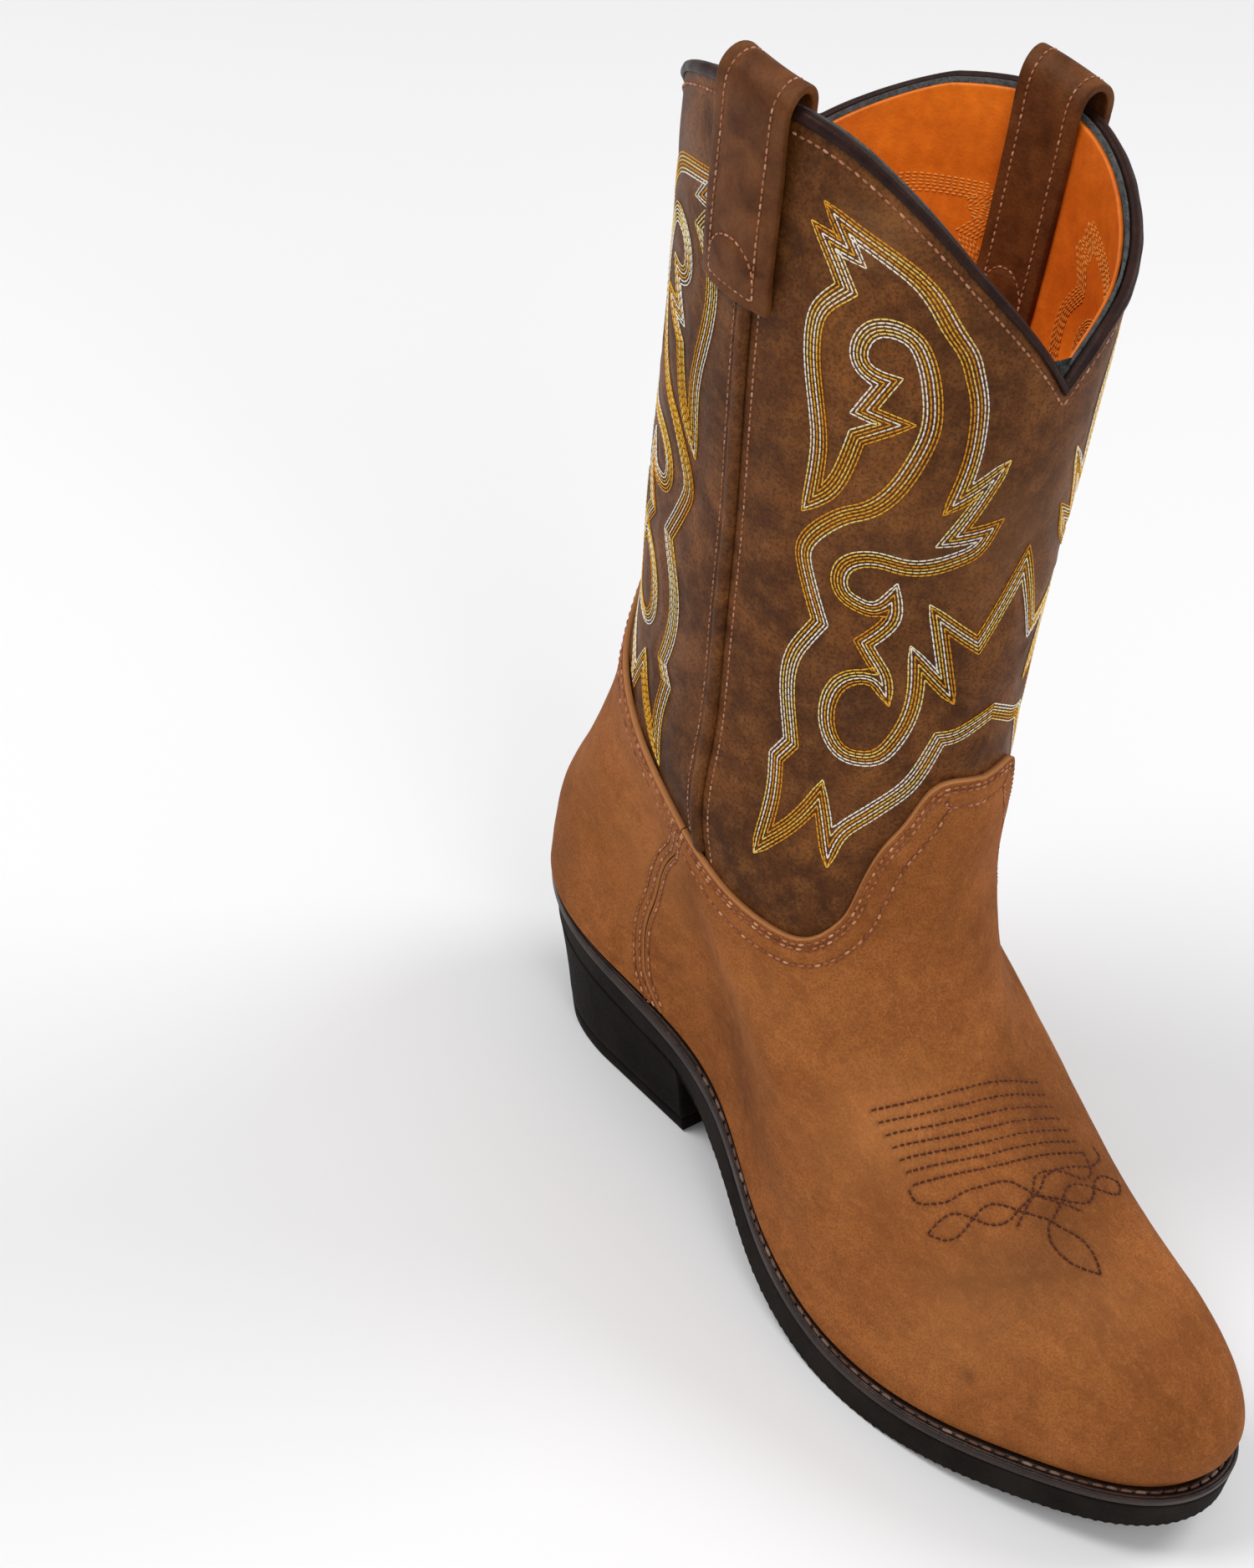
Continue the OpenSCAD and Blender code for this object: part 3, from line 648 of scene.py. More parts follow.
def thread(name, *stops, twist=0.35):
    """Thread whose colour follows the tone of its stitches, with the twist of its plies."""
    k = Look(name)
    ply = k.node("TexWave", {"Vector": k.at, "Scale": 900.0, "Distortion": 4.0, "Detail": 2.0}, "Fac",
                 wave_type="BANDS", bands_direction="DIAGONAL")
    jitter = k.span(k.noise(260, 3), 0.3, 0.7, -0.12, 0.12)
    base = k.ramp(k.math("ADD", k.value("tone"), jitter, True), *stops)
    base = k.mix(k.span(ply, 0.2, 0.8, twist, 0.0), base, (0.1, 0.045, 0.025), "MULTIPLY")
    return k.done(base, 0.55, k.bump(ply, 0.4, 0.0002), shine=0.2)


VAMP_LEATHER = nubuck()
SHAFT_LEATHER = shaft_leather()
STRAP_LEATHER = plain_leather("strap_leather", (0.07, 0.0205, 0.005), (0.175, 0.06, 0.0155), 0.55,
                              90, 560, 0.4, 0.14)
BINDING = plain_leather("binding_leather", (0.014, 0.0048, 0.0034), (0.034, 0.0125, 0.0085), 0.42,
                        120, 900, 0.25, 0.12)
LINING = plain_leather("lining_leather", (0.6, 0.118, 0.006), (0.92, 0.23, 0.015), 0.45,
                       24, 700, 0.2, 0.3)
WELT = plain_leather("welt_leather", (0.011, 0.0045, 0.0025), (0.032, 0.0135, 0.008), 0.36,
                     110, 800, 0.25, 0.3)
COVER = plain_leather("cover_leather", (0.3, 0.12, 0.04), (0.46, 0.2, 0.075), 0.6, 50, 650, 0.25)
FELT = fibres("backing_felt", (0.02, 0.021, 0.021), (0.12, 0.125, 0.125))
BOARD = fibres("stiffener_board", (0.45, 0.4, 0.3), (0.62, 0.57, 0.46), 0.9, 500)
INSOLE = fibres("insole_fibre", (0.38, 0.26, 0.15), (0.6, 0.46, 0.3), 0.9, 700)
CANVAS = fibres("rib_canvas", (0.55, 0.51, 0.42), (0.75, 0.72, 0.63), 0.95, 900)
CORK = fibres("cork", (0.22, 0.11, 0.045), (0.48, 0.3, 0.15), 0.95, 420)
FOAM = fibres("foam", (0.045, 0.045, 0.05), (0.09, 0.09, 0.1), 0.95, 800)
SOLE = rubber("sole_rubber", (0.0085, 0.0062, 0.0052), (0.02, 0.015, 0.0125), 0.72, 0.2, 0.05)
HEEL = rubber("heel_rubber", (0.005, 0.0036, 0.0028), (0.01, 0.0073, 0.006), 0.6, 0.02, 0.035)
BADGE = rubber("badge", (0.012, 0.012, 0.012), (0.02, 0.02, 0.02), 0.28, 0.0, 0.35, 0.0)
STEEL = metal("shank_steel", (0.55, 0.57, 0.6), 0.35)
NAIL = metal("nail_steel", (0.5, 0.5, 0.52), 0.4)
MOTIF_THREAD = thread("thread_motif", (0.0, (0.7, 0.29, 0.018)), (0.35, (0.84, 0.45, 0.03)),
                      (0.6, (0.88, 0.68, 0.17)), (0.85, (0.88, 0.8, 0.6)), (1.0, (0.92, 0.89, 0.82)),
                      twist=0.08)
TONAL_THREAD = thread("thread_lining", (0.0, (0.7, 0.24, 0.035)), (1.0, (0.9, 0.4, 0.08)), twist=0.1)
SEAM_THREAD = thread("thread_seam", (0.0, (0.24, 0.072, 0.03)), (0.55, (0.45, 0.165, 0.08)),
                     (1.0, (0.68, 0.34, 0.2)))
FINE_THREAD = thread("thread_shaft", (0.0, (0.3, 0.115, 0.05)), (0.6, (0.48, 0.2, 0.1)),
                     (1.0, (0.66, 0.36, 0.23)))
DARK_THREAD = thread("thread_toe", (0.0, (0.05, 0.012, 0.005)), (0.7, (0.115, 0.031, 0.013)),
                     (1.0, (0.32, 0.115, 0.055)))
WELT_THREAD = thread("thread_welt", (0.0, (0.06, 0.026, 0.017)), (0.5, (0.16, 0.085, 0.06)),
                     (1.0, (0.4, 0.26, 0.2)), twist=0.6)


# --- stitch lines

GAP = 0.16  # degrees from a seam's middle to the cut edge of each leather


def top_edge(back=False):
    """Line along the top edge of the vamp, or of the counter."""
    if back:
        u = np.linspace(0, 1, 400)
        low = np.array([counter_top(mix(-87, 87, x)) for x in u])
        a = seam_angle(low) - GAP
        return mix(-a, a, u), low
    u = np.linspace(0, 1, 600)
    low = np.array([vamp_top(mix(87, 273, x)) for x in u])
    a = seam_angle(low) + GAP
    return mix(a, 360 - a, u), low


def seam_line(side, gap):
    """Line down the side seam of the foot, gap degrees from it."""
    t = np.linspace(0.25, 6.55, 260)
    a = seam_angle(t) + gap
    return (a if side > 0 else 360 - a), t


# Scroll of the shaft embroidery, its half towards one side: x from the panel's middle line
# and z up, in the flat. A third number marks a corner.
MOTIF = [
    (0, 203, 1), (8, 199), (12, 197), (17, 196, 1), (19, 190), (24, 179), (29, 173), (35, 166),
    (40, 159), (42, 151, 1), (48, 169, 1), (52, 160), (56, 153), (63, 144, 1), (62, 155), (62, 163),
    (63, 174, 1), (59, 181, 1), (61, 189), (63, 199), (62.5, 210), (60, 217), (57, 224, 1),
    (60, 230), (64, 239), (65.5, 245), (64, 250), (60, 256), (54, 262), (51, 264), (46, 269),
    (42, 276), (39, 284), (37, 293), (38, 303), (41, 312), (44, 316), (49, 317.5), (54, 316),
    (57, 311), (56.5, 306), (53, 303.5), (49, 303, 1), (54, 293, 1), (45.5, 292, 1), (55, 285, 1),
    (57, 276), (61, 266), (65.5, 261, 1), (65, 270), (65, 279), (66.5, 288), (69, 299), (70, 308),
    (69, 315), (66.5, 319), (62.5, 323, 1), (70, 333, 1), (62.5, 332, 1), (67.5, 339, 1), (61, 337),
    (55, 335), (50, 333), (44.5, 330), (40, 326), (35, 320), (31, 315), (28.5, 309), (26.5, 303),
    (25.5, 296), (25.5, 287), (26.5, 280), (28, 273, 1), (16.5, 282, 1), (27, 262, 1),
    (15.5, 265, 1), (19, 259), (24, 256), (30, 253), (38, 251), (44.5, 251), (50, 249), (53, 246),
    (54, 240), (52, 236.5), (48, 235), (43.5, 235), (41, 237), (39, 240.5, 1), (38, 234), (40, 229),
    (44, 223, 1), (40, 218), (37, 214), (35.5, 209, 1), (39, 212), (44, 211), (48, 207), (50, 201),
    (50, 195), (48, 189), (43.5, 185), (39, 185), (34, 187), (30.5, 192), (28, 199), (27, 207),
    (27.5, 214), (29, 222, 1), (17.5, 212, 1), (26, 237, 1), (11, 228, 1), (0, 253, 1),
]
MOTIF_ROWS, MOTIF_PITCH, MOTIF_STEP, MITRE = 6, 0.92, 0.5, 4.6


def smooth_run(pts):
    """Spline through given points, as points MOTIF_STEP mm apart."""
    pts = np.asarray(pts, float)
    s = np.r_[0, np.cumsum(np.linalg.norm(np.diff(pts, axis=0), axis=1))]
    q = np.linspace(0, s[-1], max(3, int(s[-1] / MOTIF_STEP) + 1))
    if len(pts) > 2:
        return Curve(s, pts)(q)
    return np.stack([np.interp(q, s, pts[:, c]) for c in range(2)], -1)


def parallel(runs, d):
    """Closed chain of runs moved d to the left, its corners mitred up to MITRE mm."""
    out = []
    for r in runs:
        way = unit(np.gradient(r, axis=0))
        out.append([r + d * np.stack([-way[:, 1], way[:, 0]], -1), way[0], way[-1]])
    for i in range(len(out)):
        (p, _, u), (q, v, _) = out[i], out[(i + 1) % len(out)]
        den = u[0] * -v[1] + u[1] * v[0]
        if abs(den) < 0.05:
            continue
        g = q[0] - p[-1]
        reach = (g[0] * -v[1] + g[1] * v[0]) / den
        reach = max(-0.45 * len(p) * MOTIF_STEP, -0.45 * len(q) * MOTIF_STEP, min(MITRE, reach))
        meet = (p[-1] + u * reach + q[0] - v * reach) / 2
        if reach < 0:
            cut = max(1, min(int(-reach / MOTIF_STEP), len(p) - 2, len(q) - 2))
            out[i][0] = np.vstack([p[:-cut], meet])
            out[(i + 1) % len(out)][0] = np.vstack([meet, q[cut:]])
        else:
            out[i][0] = np.vstack([p, meet])
            out[(i + 1) % len(out)][0] = np.vstack([meet, q])
    return [o[0] for o in out]


def motif_rows():
    """The rows of the closed scroll, each a list of runs in the flat."""
    half = [(p[0], p[1], len(p) > 2) for p in MOTIF]
    whole = half + [(-x, z, c) for x, z, c in half[-2:0:-1]]
    runs, run = [], [whole[0][:2]]
    for x, z, corner in whole[1:] + whole[:1]:
        run.append((x, z))
        if corner:
            runs.append(smooth_run(run))
            run = [(x, z)]
    return [parallel(runs, (r - (MOTIF_ROWS - 1) / 2) * MOTIF_PITCH) for r in range(MOTIF_ROWS)]


ROWS_FLAT = motif_rows()


def placed(x, z, back):
    """The scroll's drawing as it sits on a panel."""
    if back:
        return x * 1.12, z - 12 * ease((z - 140) / 60)
    narrow = 4.5 * ease((z - 170) / 110) * ease(np.abs(x) / 30)
    return x - np.sign(x) * narrow, z - 2.5 * ease((z - 190) / 60) + 1.5 * ease((z - 318) / 12)


def fading(start, row):
    """Tone of a scroll's row: it goes from light to dark and back over 140 mm."""
    shift = 0.22 * np.sin(2.4 * row)
    return lambda s: 0.5 + 0.5 * np.sin(2 * np.pi * ((s + start) / 140 + shift))


def motif_on(back, off, sew, inward=False):
    """Sews the scroll on a panel with sew(side, points, normals, tone function)."""
    top = counter_top if back else vamp_top
    for row, runs in enumerate(ROWS_FLAT):
        start = 0.0
        for run in runs:
            x, z = placed(run[:, 0], run[:, 1], back)
            a, t = flat_to_skin(x, z, back)
            show = t > top(a) + 0.06
            p, n = layer_point(a, t, np.full(a.shape, off)), outward(a, t)
            for part in np.split(np.arange(len(p)), np.nonzero(np.diff(show))[0] + 1):
                if len(part) > 3 and show[part[0]]:
                    side = 1 if x[part].mean() >= 0 else -1
                    sew(side, p[part], -n[part] if inward else n[part], fading(start, row))
            start += np.linalg.norm(np.diff(run, axis=0), axis=1).sum()


def ripple(p, size=1.0):
    """Slow, uneven swelling of hand-lasted leather."""
    x, y, z = p[..., 0], p[..., 1], p[..., 2]
    return size * (0.16 * np.sin(x / 17 + 1.3 * np.sin(z / 23)) * np.sin(z / 19 + y / 31)
                   + 0.1 * np.sin(x / 7.3 + y / 9.1 + 2) * np.sin(z / 8.7 - x / 11.3)
                   + 0.05 * np.sin(x / 3.1 - z / 2.9) * np.sin(y / 3.7 + z / 4.3))


def blobs(p, spots):
    """Sum of soft spots, each (x, y, z, radius, strength)."""
    out = np.zeros(p.shape[:-1])
    for x, y, z, r, w in spots:
        out += w * np.exp(-((p - np.array([x, y, z])) ** 2).sum(-1) / (2 * r * r))
    return np.clip(out, 0, 1)


# --- vamp and counter

TOP_ROWS, SEAM_ROWS, TOE_ROWS = Thread(), Thread(), Thread()
foot_rows = Rows()


def foot_line(a, t, rows, off=2.26, **kind):
    """Sews one row on the foot, and notes it so that the leather sinks there."""
    rows.line(a, t, off, **kind)
    foot_rows.add(layer_point(a, t, np.full(np.shape(a), FOOT_SKIN[1])), 3)


for back in (False, True):
    a, t = top_edge(back)
    for d in (1.7, 3.2, 8.4):
        foot_line(*shifted(a, t, -d), TOP_ROWS, 2.02 if d < 4 else 2.26, **EDGE_STITCH)
for side in (1, -1):
    for gap, d in ((GAP, -1.4), (-GAP, 4.0), (-GAP, 1.6)):
        foot_line(*shifted(*seam_line(side, gap), d * side), SEAM_ROWS, **SEAM_STITCH)


def toe_curve(points):
    """Smooth lines through plan points. A third number marks a corner."""
    runs, run = [], []
    for q in points:
        run.append(q[:2])
        if len(q) > 2:
            runs.append(run)
            run = [q[:2]]
    runs.append(run)
    return [smooth_run(r) for r in runs if len(r) > 1]


def toe_tone(s):
    return 0.35 + 0.35 * np.sin(s * 2.1) * np.sin(s * 0.83 + 2)


# The toe's stitching in plan: x and y on the foot
CURL = [(211, 19.6), (215, 19), (218, 17), (218, 13), (215, 10), (213, 7), (213, 2), (215, -1), (216, -4)]
WAVE = [(195, -34), (199, -34), (202, -31), (204, -28), (205, -22), (207, -15), (209, -9), (213, -6),
        (216, -4), (220, 0), (223, 3), (226, 6)]
DIAMONDS = [(216, -4), (217, -11), (218, -18), (215, -22), (212, -24), (207, -29), (207, -35, 1),
            (213, -30), (212, -24), (212, -17), (217, -12), (222, -7), (224, -5)]
PETAL = [(224, -5), (227, -8), (232, -9), (238, -7), (244, -2, 1), (239, 0), (233, 0), (228, -3),
         (224, -5)]
lines = []
for f in np.arange(7) / 6:
    lines.append(smooth_run([(173 + 22 * f, -33), (181 + 22 * f, -12), (184.5 + 22.5 * f, 5),
                             (188.5 + 23 * f, 20)]))
for shape in (WAVE, DIAMONDS):
    for r in toe_curve(shape):
        lines.append(r)
        mirrored = -9 - r[:, 1]
        lines.append(np.stack([r[:, 0] + 0.25 * (mirrored - r[:, 1]), mirrored], -1))
lines += toe_curve(PETAL) + toe_curve(CURL)
for r in lines:
    foot_line(*plan_to_skin(r[:, 0], r[:, 1]), TOE_ROWS, tone=toe_tone, **TOE_STITCH)

# Dark and pale spots of the foot leather: place, radius and strength. The dark ones are partly real
# smudges, at the toe, and partly painted shade, on the far side and at the back.
STAINS_AND_SHADE = [(192, 20, 82, 13, 0.4), (216, 14, 74, 12, 0.35), (226, -6, 66, 11, 0.4),
          (110, -32, 73, 7, 0.2), (132, -37, 60, 8, 0.3), (155, -43, 47, 9, 0.3),
          (262, 8, 44, 9, 0.3), (259, -22, 40, 2.2, 1.0), (237, -36, 38, 1.8, 1.0),
          (230, -22, 58, 10, 0.5), (241, -3, 60, 8, 0.35), (283, 2, 34, 6, 0.3),
          (30, -34, 62, 7, 0.4), (14, -18, 70, 8, 0.35)]
PALE = [(225, -30, 50, 14, 0.6), (250, -6, 54, 12, 0.5), (176, -30, 76, 14, 0.7), (70, -39, 96, 15, 0.6),
        (130, -30, 92, 12, 0.5), (22, -28, 96, 12, 0.4)]
# Creases at the ball: two ends and a strength
CREASES = [((186, -44, 40), (204, -34, 62), 0.5), ((196, -47, 34), (213, -36, 54), 0.4),
           ((196, 42, 42), (208, 30, 64), 0.6)]


def crease(p):
    """Depth of the creases, each with a soft bank beside it."""
    out = np.zeros(p.shape[:-1])
    for a, b, w in CREASES:
        a, b = np.array(a, float), np.array(b, float)
        f = np.clip(((p - a) @ (b - a)) / ((b - a) @ (b - a)), 0, 1)
        d = np.linalg.norm(p - a - f[..., None] * (b - a), axis=-1)
        across = np.exp(-(d / 1.6) ** 2) - 0.5 * np.exp(-((d - 4) / 2.5) ** 2)
        out += w * np.sin(np.pi * np.clip(f, 0.02, 0.98)) * across
    return -0.4 * out


def foot_field(back, u, v, rows=1.0):
    """Grid of a foot leather: u from seam to seam, v from the sole to a share of its top edge."""
    top = np.array([counter_top(mix(-87, 87, x)) if back else vamp_top(mix(87, 273, x)) for x in u])
    t = mix(0.1, mix(0.1, top[:, None], rows), v[None, :])
    a = seam_angle(t) + (-GAP if back else GAP)
    return mix(-a if back else a, a if back else 360 - a, u[:, None]), t


def foot_leather(name, back, size, step):
    """Vamp or counter: it sinks along its stitches, and is skived thin towards its top edge."""
    u, v = spaced(size[0], step[0], 0.7), spaced(size[1], step[1], 0.7)
    a, t = foot_field(back, u, v)
    p, n = skin(a, t), outward(a, t)
    near, high = border(p), np.zeros(p.shape[:-1])
    high[:, :-1] = np.cumsum(np.linalg.norm(np.diff(p, axis=1), axis=2)[:, ::-1], axis=1)[:, ::-1]
    skive = 1 - ease(high / 9)
    d = foot_rows.distance(p + n * FOOT_SKIN[1])
    lift = ripple(p, 0.75) + crease(p) - 0.28 * np.exp(-((d / 0.8) ** 2))
    lift *= ease(near / 3) * 0.8 + 0.2
    outer = p + n * (FOOT_SKIN[1] - round_off(near, 0.4) + lift - 0.35 * skive)[..., None]
    inner = p + n * (FOOT_SKIN[0] + np.minimum(lift, 0) * 0.5 - 0.42 * skive)[..., None]
    # sewn marks the stitch rows, along which the leather gets painted shade
    leaf(name, outer, inner, VAMP_LEATHER, "vamp_leather", rim=(near, 0.0),
         sewn=(np.exp(-((d / 0.6) ** 2)), 0.0), stain=blobs(p, STAINS_AND_SHADE), pale=blobs(p, PALE))


foot_leather("vamp", False, (470, 190), (1.02, 0.95))
foot_leather("counter", True, (215, 110), (0.75, 0.65))
TOP_ROWS.build("edge_stitches", SEAM_THREAD)
SEAM_ROWS.build("seam_stitches", SEAM_THREAD)
TOE_ROWS.build("toe_stitches", DARK_THREAD)

# --- shaft

shaft_rows = {False: Rows(), True: Rows()}
for back in (False, True):
    sides = {1: Thread(4, (0.07, 0.5, 0.93)), -1: Thread(4, (0.07, 0.5, 0.93))}
    uneven = np.random.default_rng(3)

    def sew(side, p, n, tone):
        sides[side].row(p, n, uneven.uniform(1.8, 2.3), tone=tone, **SCROLL_STITCH)
        shaft_rows[back].add(p)

    motif_on(back, -0.2, sew)
    # a drawing's x is positive on the boot's right half, in front and behind
    for side, word in ((1, "right"), (-1, "left")):
        sides[side].build(f"{'back' if back else 'front'}_scroll_{word}", MOTIF_THREAD)


def shaft_bump(back):
    """The leather between the scroll's rows is puffed up, less so near the collar."""
    def bump(p):
        d = shaft_rows[back].distance(p)
        puff = 0.55 * (1 - np.exp(-((np.maximum(d - 0.6, 0) / 4.2) ** 2))) - 0.38
        top = ease((330 - p[..., 2]) / 30) * 0.5 + 0.5
        return puff * top + ripple(p, 0.45)
    return bump


def shaft_marks(p):
    rng = np.random.default_rng(5)
    spots = [(x, y, z, r, w) for x, y, z, r, w in zip(
        rng.uniform(0, 155, 26), rng.uniform(-55, 55, 26), rng.uniform(120, 340, 26),
        rng.uniform(5, 14, 26), rng.uniform(0.2, 0.6, 26))]
    return {"stain": blobs(p, spots[:13]), "pale": blobs(p, spots[13:])}


def side_ends(back):
    """Angles of a shaft panel's two side edges."""
    return (-SIDE_SEAM + GAP, SIDE_SEAM - GAP) if back else (SIDE_SEAM + GAP, 360 - SIDE_SEAM - GAP)


def panel_grid(back, size, below, above, step, edge):
    """Grid from under the foot leather's top edge to below mm under the collar's edge."""
    top = counter_top if back else vamp_top
    return field(*side_ends(back), lambda a: top(a) - 0.45 + above, lambda a: collar_level(a, below),
                 *size, step, edge)


def leather(name, grid, band, bump, mat, slot, groove=0.0, marks=None):
    """A shaft layer between two offsets: bump lifts it, and a groove runs along its edges."""
    p, n = skin(*grid), outward(*grid)
    near = border(p)
    lift = bump(p) - groove * np.exp(-(((near - 1.95) / 0.5) ** 2))
    outer = p + n * (band[1] - round_off(near, 0.6) + lift)[..., None]
    inner = p + n * (band[0] + np.minimum(lift, 0) * 0.8)[..., None]
    # rim: the shaft leather paints shade along the edges by it, over a wider band where there is a groove
    leaf(name, outer, inner, mat, slot, rim=(near * (1 if groove else 3), 9.0),
         **(marks(p) if marks else {}))


def felt_bump(p):
    return 0.12 * np.sin(p[..., 0] * 1.7) * np.sin(p[..., 1] * 2.1)


for back, word, size in ((False, "front", (178, 190)), (True, "back", (189, 235))):
    leather(f"{word}_shaft_panel", panel_grid(back, size, 1.2, 0, 0.72, 0.6), SHAFT_SKIN,
            shaft_bump(back), SHAFT_LEATHER, "shaft_leather", 0.0 if back else 0.55, shaft_marks)
    leather(f"{word}_shaft_backing", panel_grid(back, size, 0.7, 0.1, 2.4, 0.3), SHAFT_BACKING,
            felt_bump, FELT, "backing_felt")


def lining(name, a, t, band, bump):
    """A leaf whose fine side faces into the boot."""
    p, n = skin(a, t), outward(a, t)
    fine = p + n * (band[0] + round_off(border(p), 0.4) - bump(p + n * band[0]))[..., None]
    leaf(name, fine, p + n * band[1], LINING, "lining_leather", inward=True)


LINE_ROWS = Thread(4)
lining_rows = {False: Rows(), True: Rows()}
for back, word, size in ((False, "front", 178), (True, "back", 189)):

    def sew_lining(side, p, n, tone):
        """Only the rows that can be seen from above are sewn."""
        high = p[:, 2] > 215
        if high.sum() > 3:
            q, m = p[high], n[high]
            jump = np.nonzero(np.linalg.norm(np.diff(q, axis=0), axis=1) > 2)[0] + 1
            for part in np.split(np.arange(len(q)), jump):
                if len(part) > 3:
                    LINE_ROWS.row(q[part], m[part], **TONAL_STITCH)
        lining_rows[back].add(p, 3)

    motif_on(back, -4.66, sew_lining, inward=True)
    lo, hi = side_ends(back)
    a, t = field(lo, hi, lambda a: np.full_like(a, 5.3), lambda a: collar_level(a, 2.2), size, 250, 1.3)

    def puffed(p, back=back):
        d = lining_rows[back].distance(p)
        return 0.5 * (1 - np.exp(-((np.maximum(d - 0.5, 0) / 4) ** 2))) - 0.25 + ripple(p, 1.2)

    lining(f"{word}_shaft_lining", a, t, SHAFT_LINING, puffed)
    q = np.linspace(lo + 0.5, hi - 0.5, 500)
    LINE_ROWS.line(q, collar_level(q, 4.8), -4.75, **LINING_STITCH)
LINE_ROWS.build("lining_stitches", TONAL_THREAD)

for back, name, rows, wide, tall in ((False, "vamp_lining", 16 / 18, 440, 160),
                                     (True, "heel_lining", 12 / 14, 200, 100)):
    a, t = foot_field(back, spaced(wide, 2.4, 0.5), spaced(tall, 2.4, 0.5), rows)
    lining(name, a, t, FOOT_LINING, lambda p: ripple(p, 0.4))

# --- side welts, binding

SHAFT_ROWS = Thread()
PIPING_HALF, PIPING_HIGH = 1.85, 1.85  # half its width in degrees, and its height in mm


def side_welt(middle, word, front):
    """Piping in a side seam, at angle middle, with a stitch row on each side of it."""
    c = np.linspace(-1, 1, 15)
    a = middle + PIPING_HALF * c
    t = mix(6.6, collar_level(a, 3.9)[:, None], np.linspace(0, 1, 280)[None, :])
    a = np.repeat(a[:, None], t.shape[1], 1)
    p, n = skin(a, t), outward(a, t)
    wobble = 1 + 0.06 * np.sin(p[..., 2] / 6.5) + 0.04 * np.sin(p[..., 2] / 2.3)
    ridge = 0.1 + PIPING_HIGH * (1 - np.abs(c) ** 2.4)[:, None] ** 0.55 * wobble
    leaf(f"side_welt_{word}", p + n * ridge[..., None], p - n * 0.1, SHAFT_LEATHER, "shaft_leather",
         k=1, rim=np.full(ridge.shape, 5.0))
    for d, low in ((-3.5, counter_top), (4.3, vamp_top)):
        a = np.full(500, middle + d * front)
        t = mix(low(a) + 0.03, level_at(a, collar_z(a) - 6.5), np.linspace(0, 1, 500))
        SHAFT_ROWS.line(a, t, 0.08, **SIDE_STITCH)


side_welt(SIDE_SEAM, "right", 1)
side_welt(360 - SIDE_SEAM, "left", -1)

# The folded strip's section: mm out from the surface, and mm below the collar's edge
BINDING_PROFILE = [(0.12, 3.0), (0.5, 3.15), (0.9, 2.95), (1.12, 2.4), (1.18, 1.8), (1.1, 1.15),
                   (0.85, 0.5), (0.45, 0.1), (-0.1, -0.05), (-0.8, -0.08), (-1.4, 0.05), (-1.9, 0.4),
                   (-2.15, 1.1), (-2.2, 2.4), (-2.15, 3.0), (-2, 3.6), (-1.7, 3.75), (-1.5, 3.5),
                   (-1.5, 0.95), (0.12, 0.95)]


def torus(name, rings, mat, slot):
    """Solid swept round a closed way: rings[i] is the section at each station."""
    n, m = rings.shape[:2]
    idx = np.arange(n * m).reshape(n, m)
    idx = np.concatenate([idx, idx[:1]])
    idx = np.concatenate([idx, idx[:, :1]], 1)
    return finish_piece(new_mesh(name, rings.reshape(-1, 3), [grid_quads(idx)]), mat, slot)


a = np.arange(0, 360, 0.6)
ring = []
for off, below in BINDING_PROFILE:
    pucker = (0.07 * np.sin(a / 2.9) + 0.05 * np.sin(a / 1.3 + 1)) * (1 if off > 0.6 else 0.4)
    sag = 0.2 * np.sin(a / 9.0) * (1 if below > 3 and off > 0 else 0)
    ring.append(layer_point(a, collar_level(a, below + sag), off + pucker))
torus("collar_binding", np.stack(ring, 1), BINDING, "binding_leather")
a = np.linspace(0, 360, 2000)
SHAFT_ROWS.line(a, collar_level(a, 6.4), 0.12, **COLLAR_STITCH)
SHAFT_ROWS.build("shaft_stitches", FINE_THREAD)

# --- pull straps

# The strap's middle line, from its outer end over the collar to its inner end: mm out from the
# surface, and mm above the collar's edge
ARC = [(mix(STRAP_IN, STRAP_OUT, 0.5 + 0.5 * math.cos(math.radians(q))),
        (LOOP_RISE - STRAP_T / 2) * math.sin(math.radians(q))) for q in np.arange(0, 181, 22.5)]
LOOP_DROP = {90: 1.0, 270: -1.3}
WAY = np.array([(STRAP_OUT, -54), (STRAP_OUT, -38), (STRAP_OUT, -21), (STRAP_OUT, -6)] + ARC
               + [(STRAP_IN, -8), (STRAP_IN, -22), (STRAP_IN, -36), (STRAP_IN, -50), (STRAP_IN, -65)])
WAY_S = np.r_[0, np.cumsum(np.linalg.norm(np.diff(WAY, axis=0), axis=1))]
WAY_CURVE = Curve(WAY_S, WAY)
STRAP_LONG = WAY_S[-1]


def strap_point(angle, c, w, r):
    """Point of a strap: c across from -1 to 1, w mm along from its outer end, r off its middle."""
    w = np.clip(w, 0, STRAP_LONG)
    q = WAY_CURVE(w)
    d = unit(WAY_CURVE(np.minimum(w + 0.5, STRAP_LONG)) - WAY_CURVE(np.maximum(w - 0.5, 0)))
    hug = (1.1 * np.abs(c) ** 3 * ease((52 - w) / 20) + 0.5 * (1 - ease(w / 14)))
    left = STRAP_LONG - w
    hug = hug - (0.7 * np.abs(c) ** 3 * ease((70 - left) / 25) + 0.5 * (1 - ease(left / 14)))
    off = q[..., 0] + r * d[..., 1] - hug
    h = q[..., 1] - r * d[..., 0]
    h = h - LOOP_DROP[angle] * ease((h + 12) / 16)
    half = STRAP_W / 2 / np.linalg.norm(skin(angle + 0.5, 12) - skin(angle - 0.5, 12))
    b = angle + c * half * (1 if angle < 180 else -1)
    top = collar_z(angle)
    z = top + h
    t = level_at(b, np.minimum(z, top))
    flat = unit(outward(b, t) * np.array([1.0, 1.0, 0.0]))
    p = skin(b, t) + flat * off[..., None]
    p[..., 2] = z
    return p


STRAP_ROWS = Thread()
ROW_HALF = 8.2 / (STRAP_W / 2)


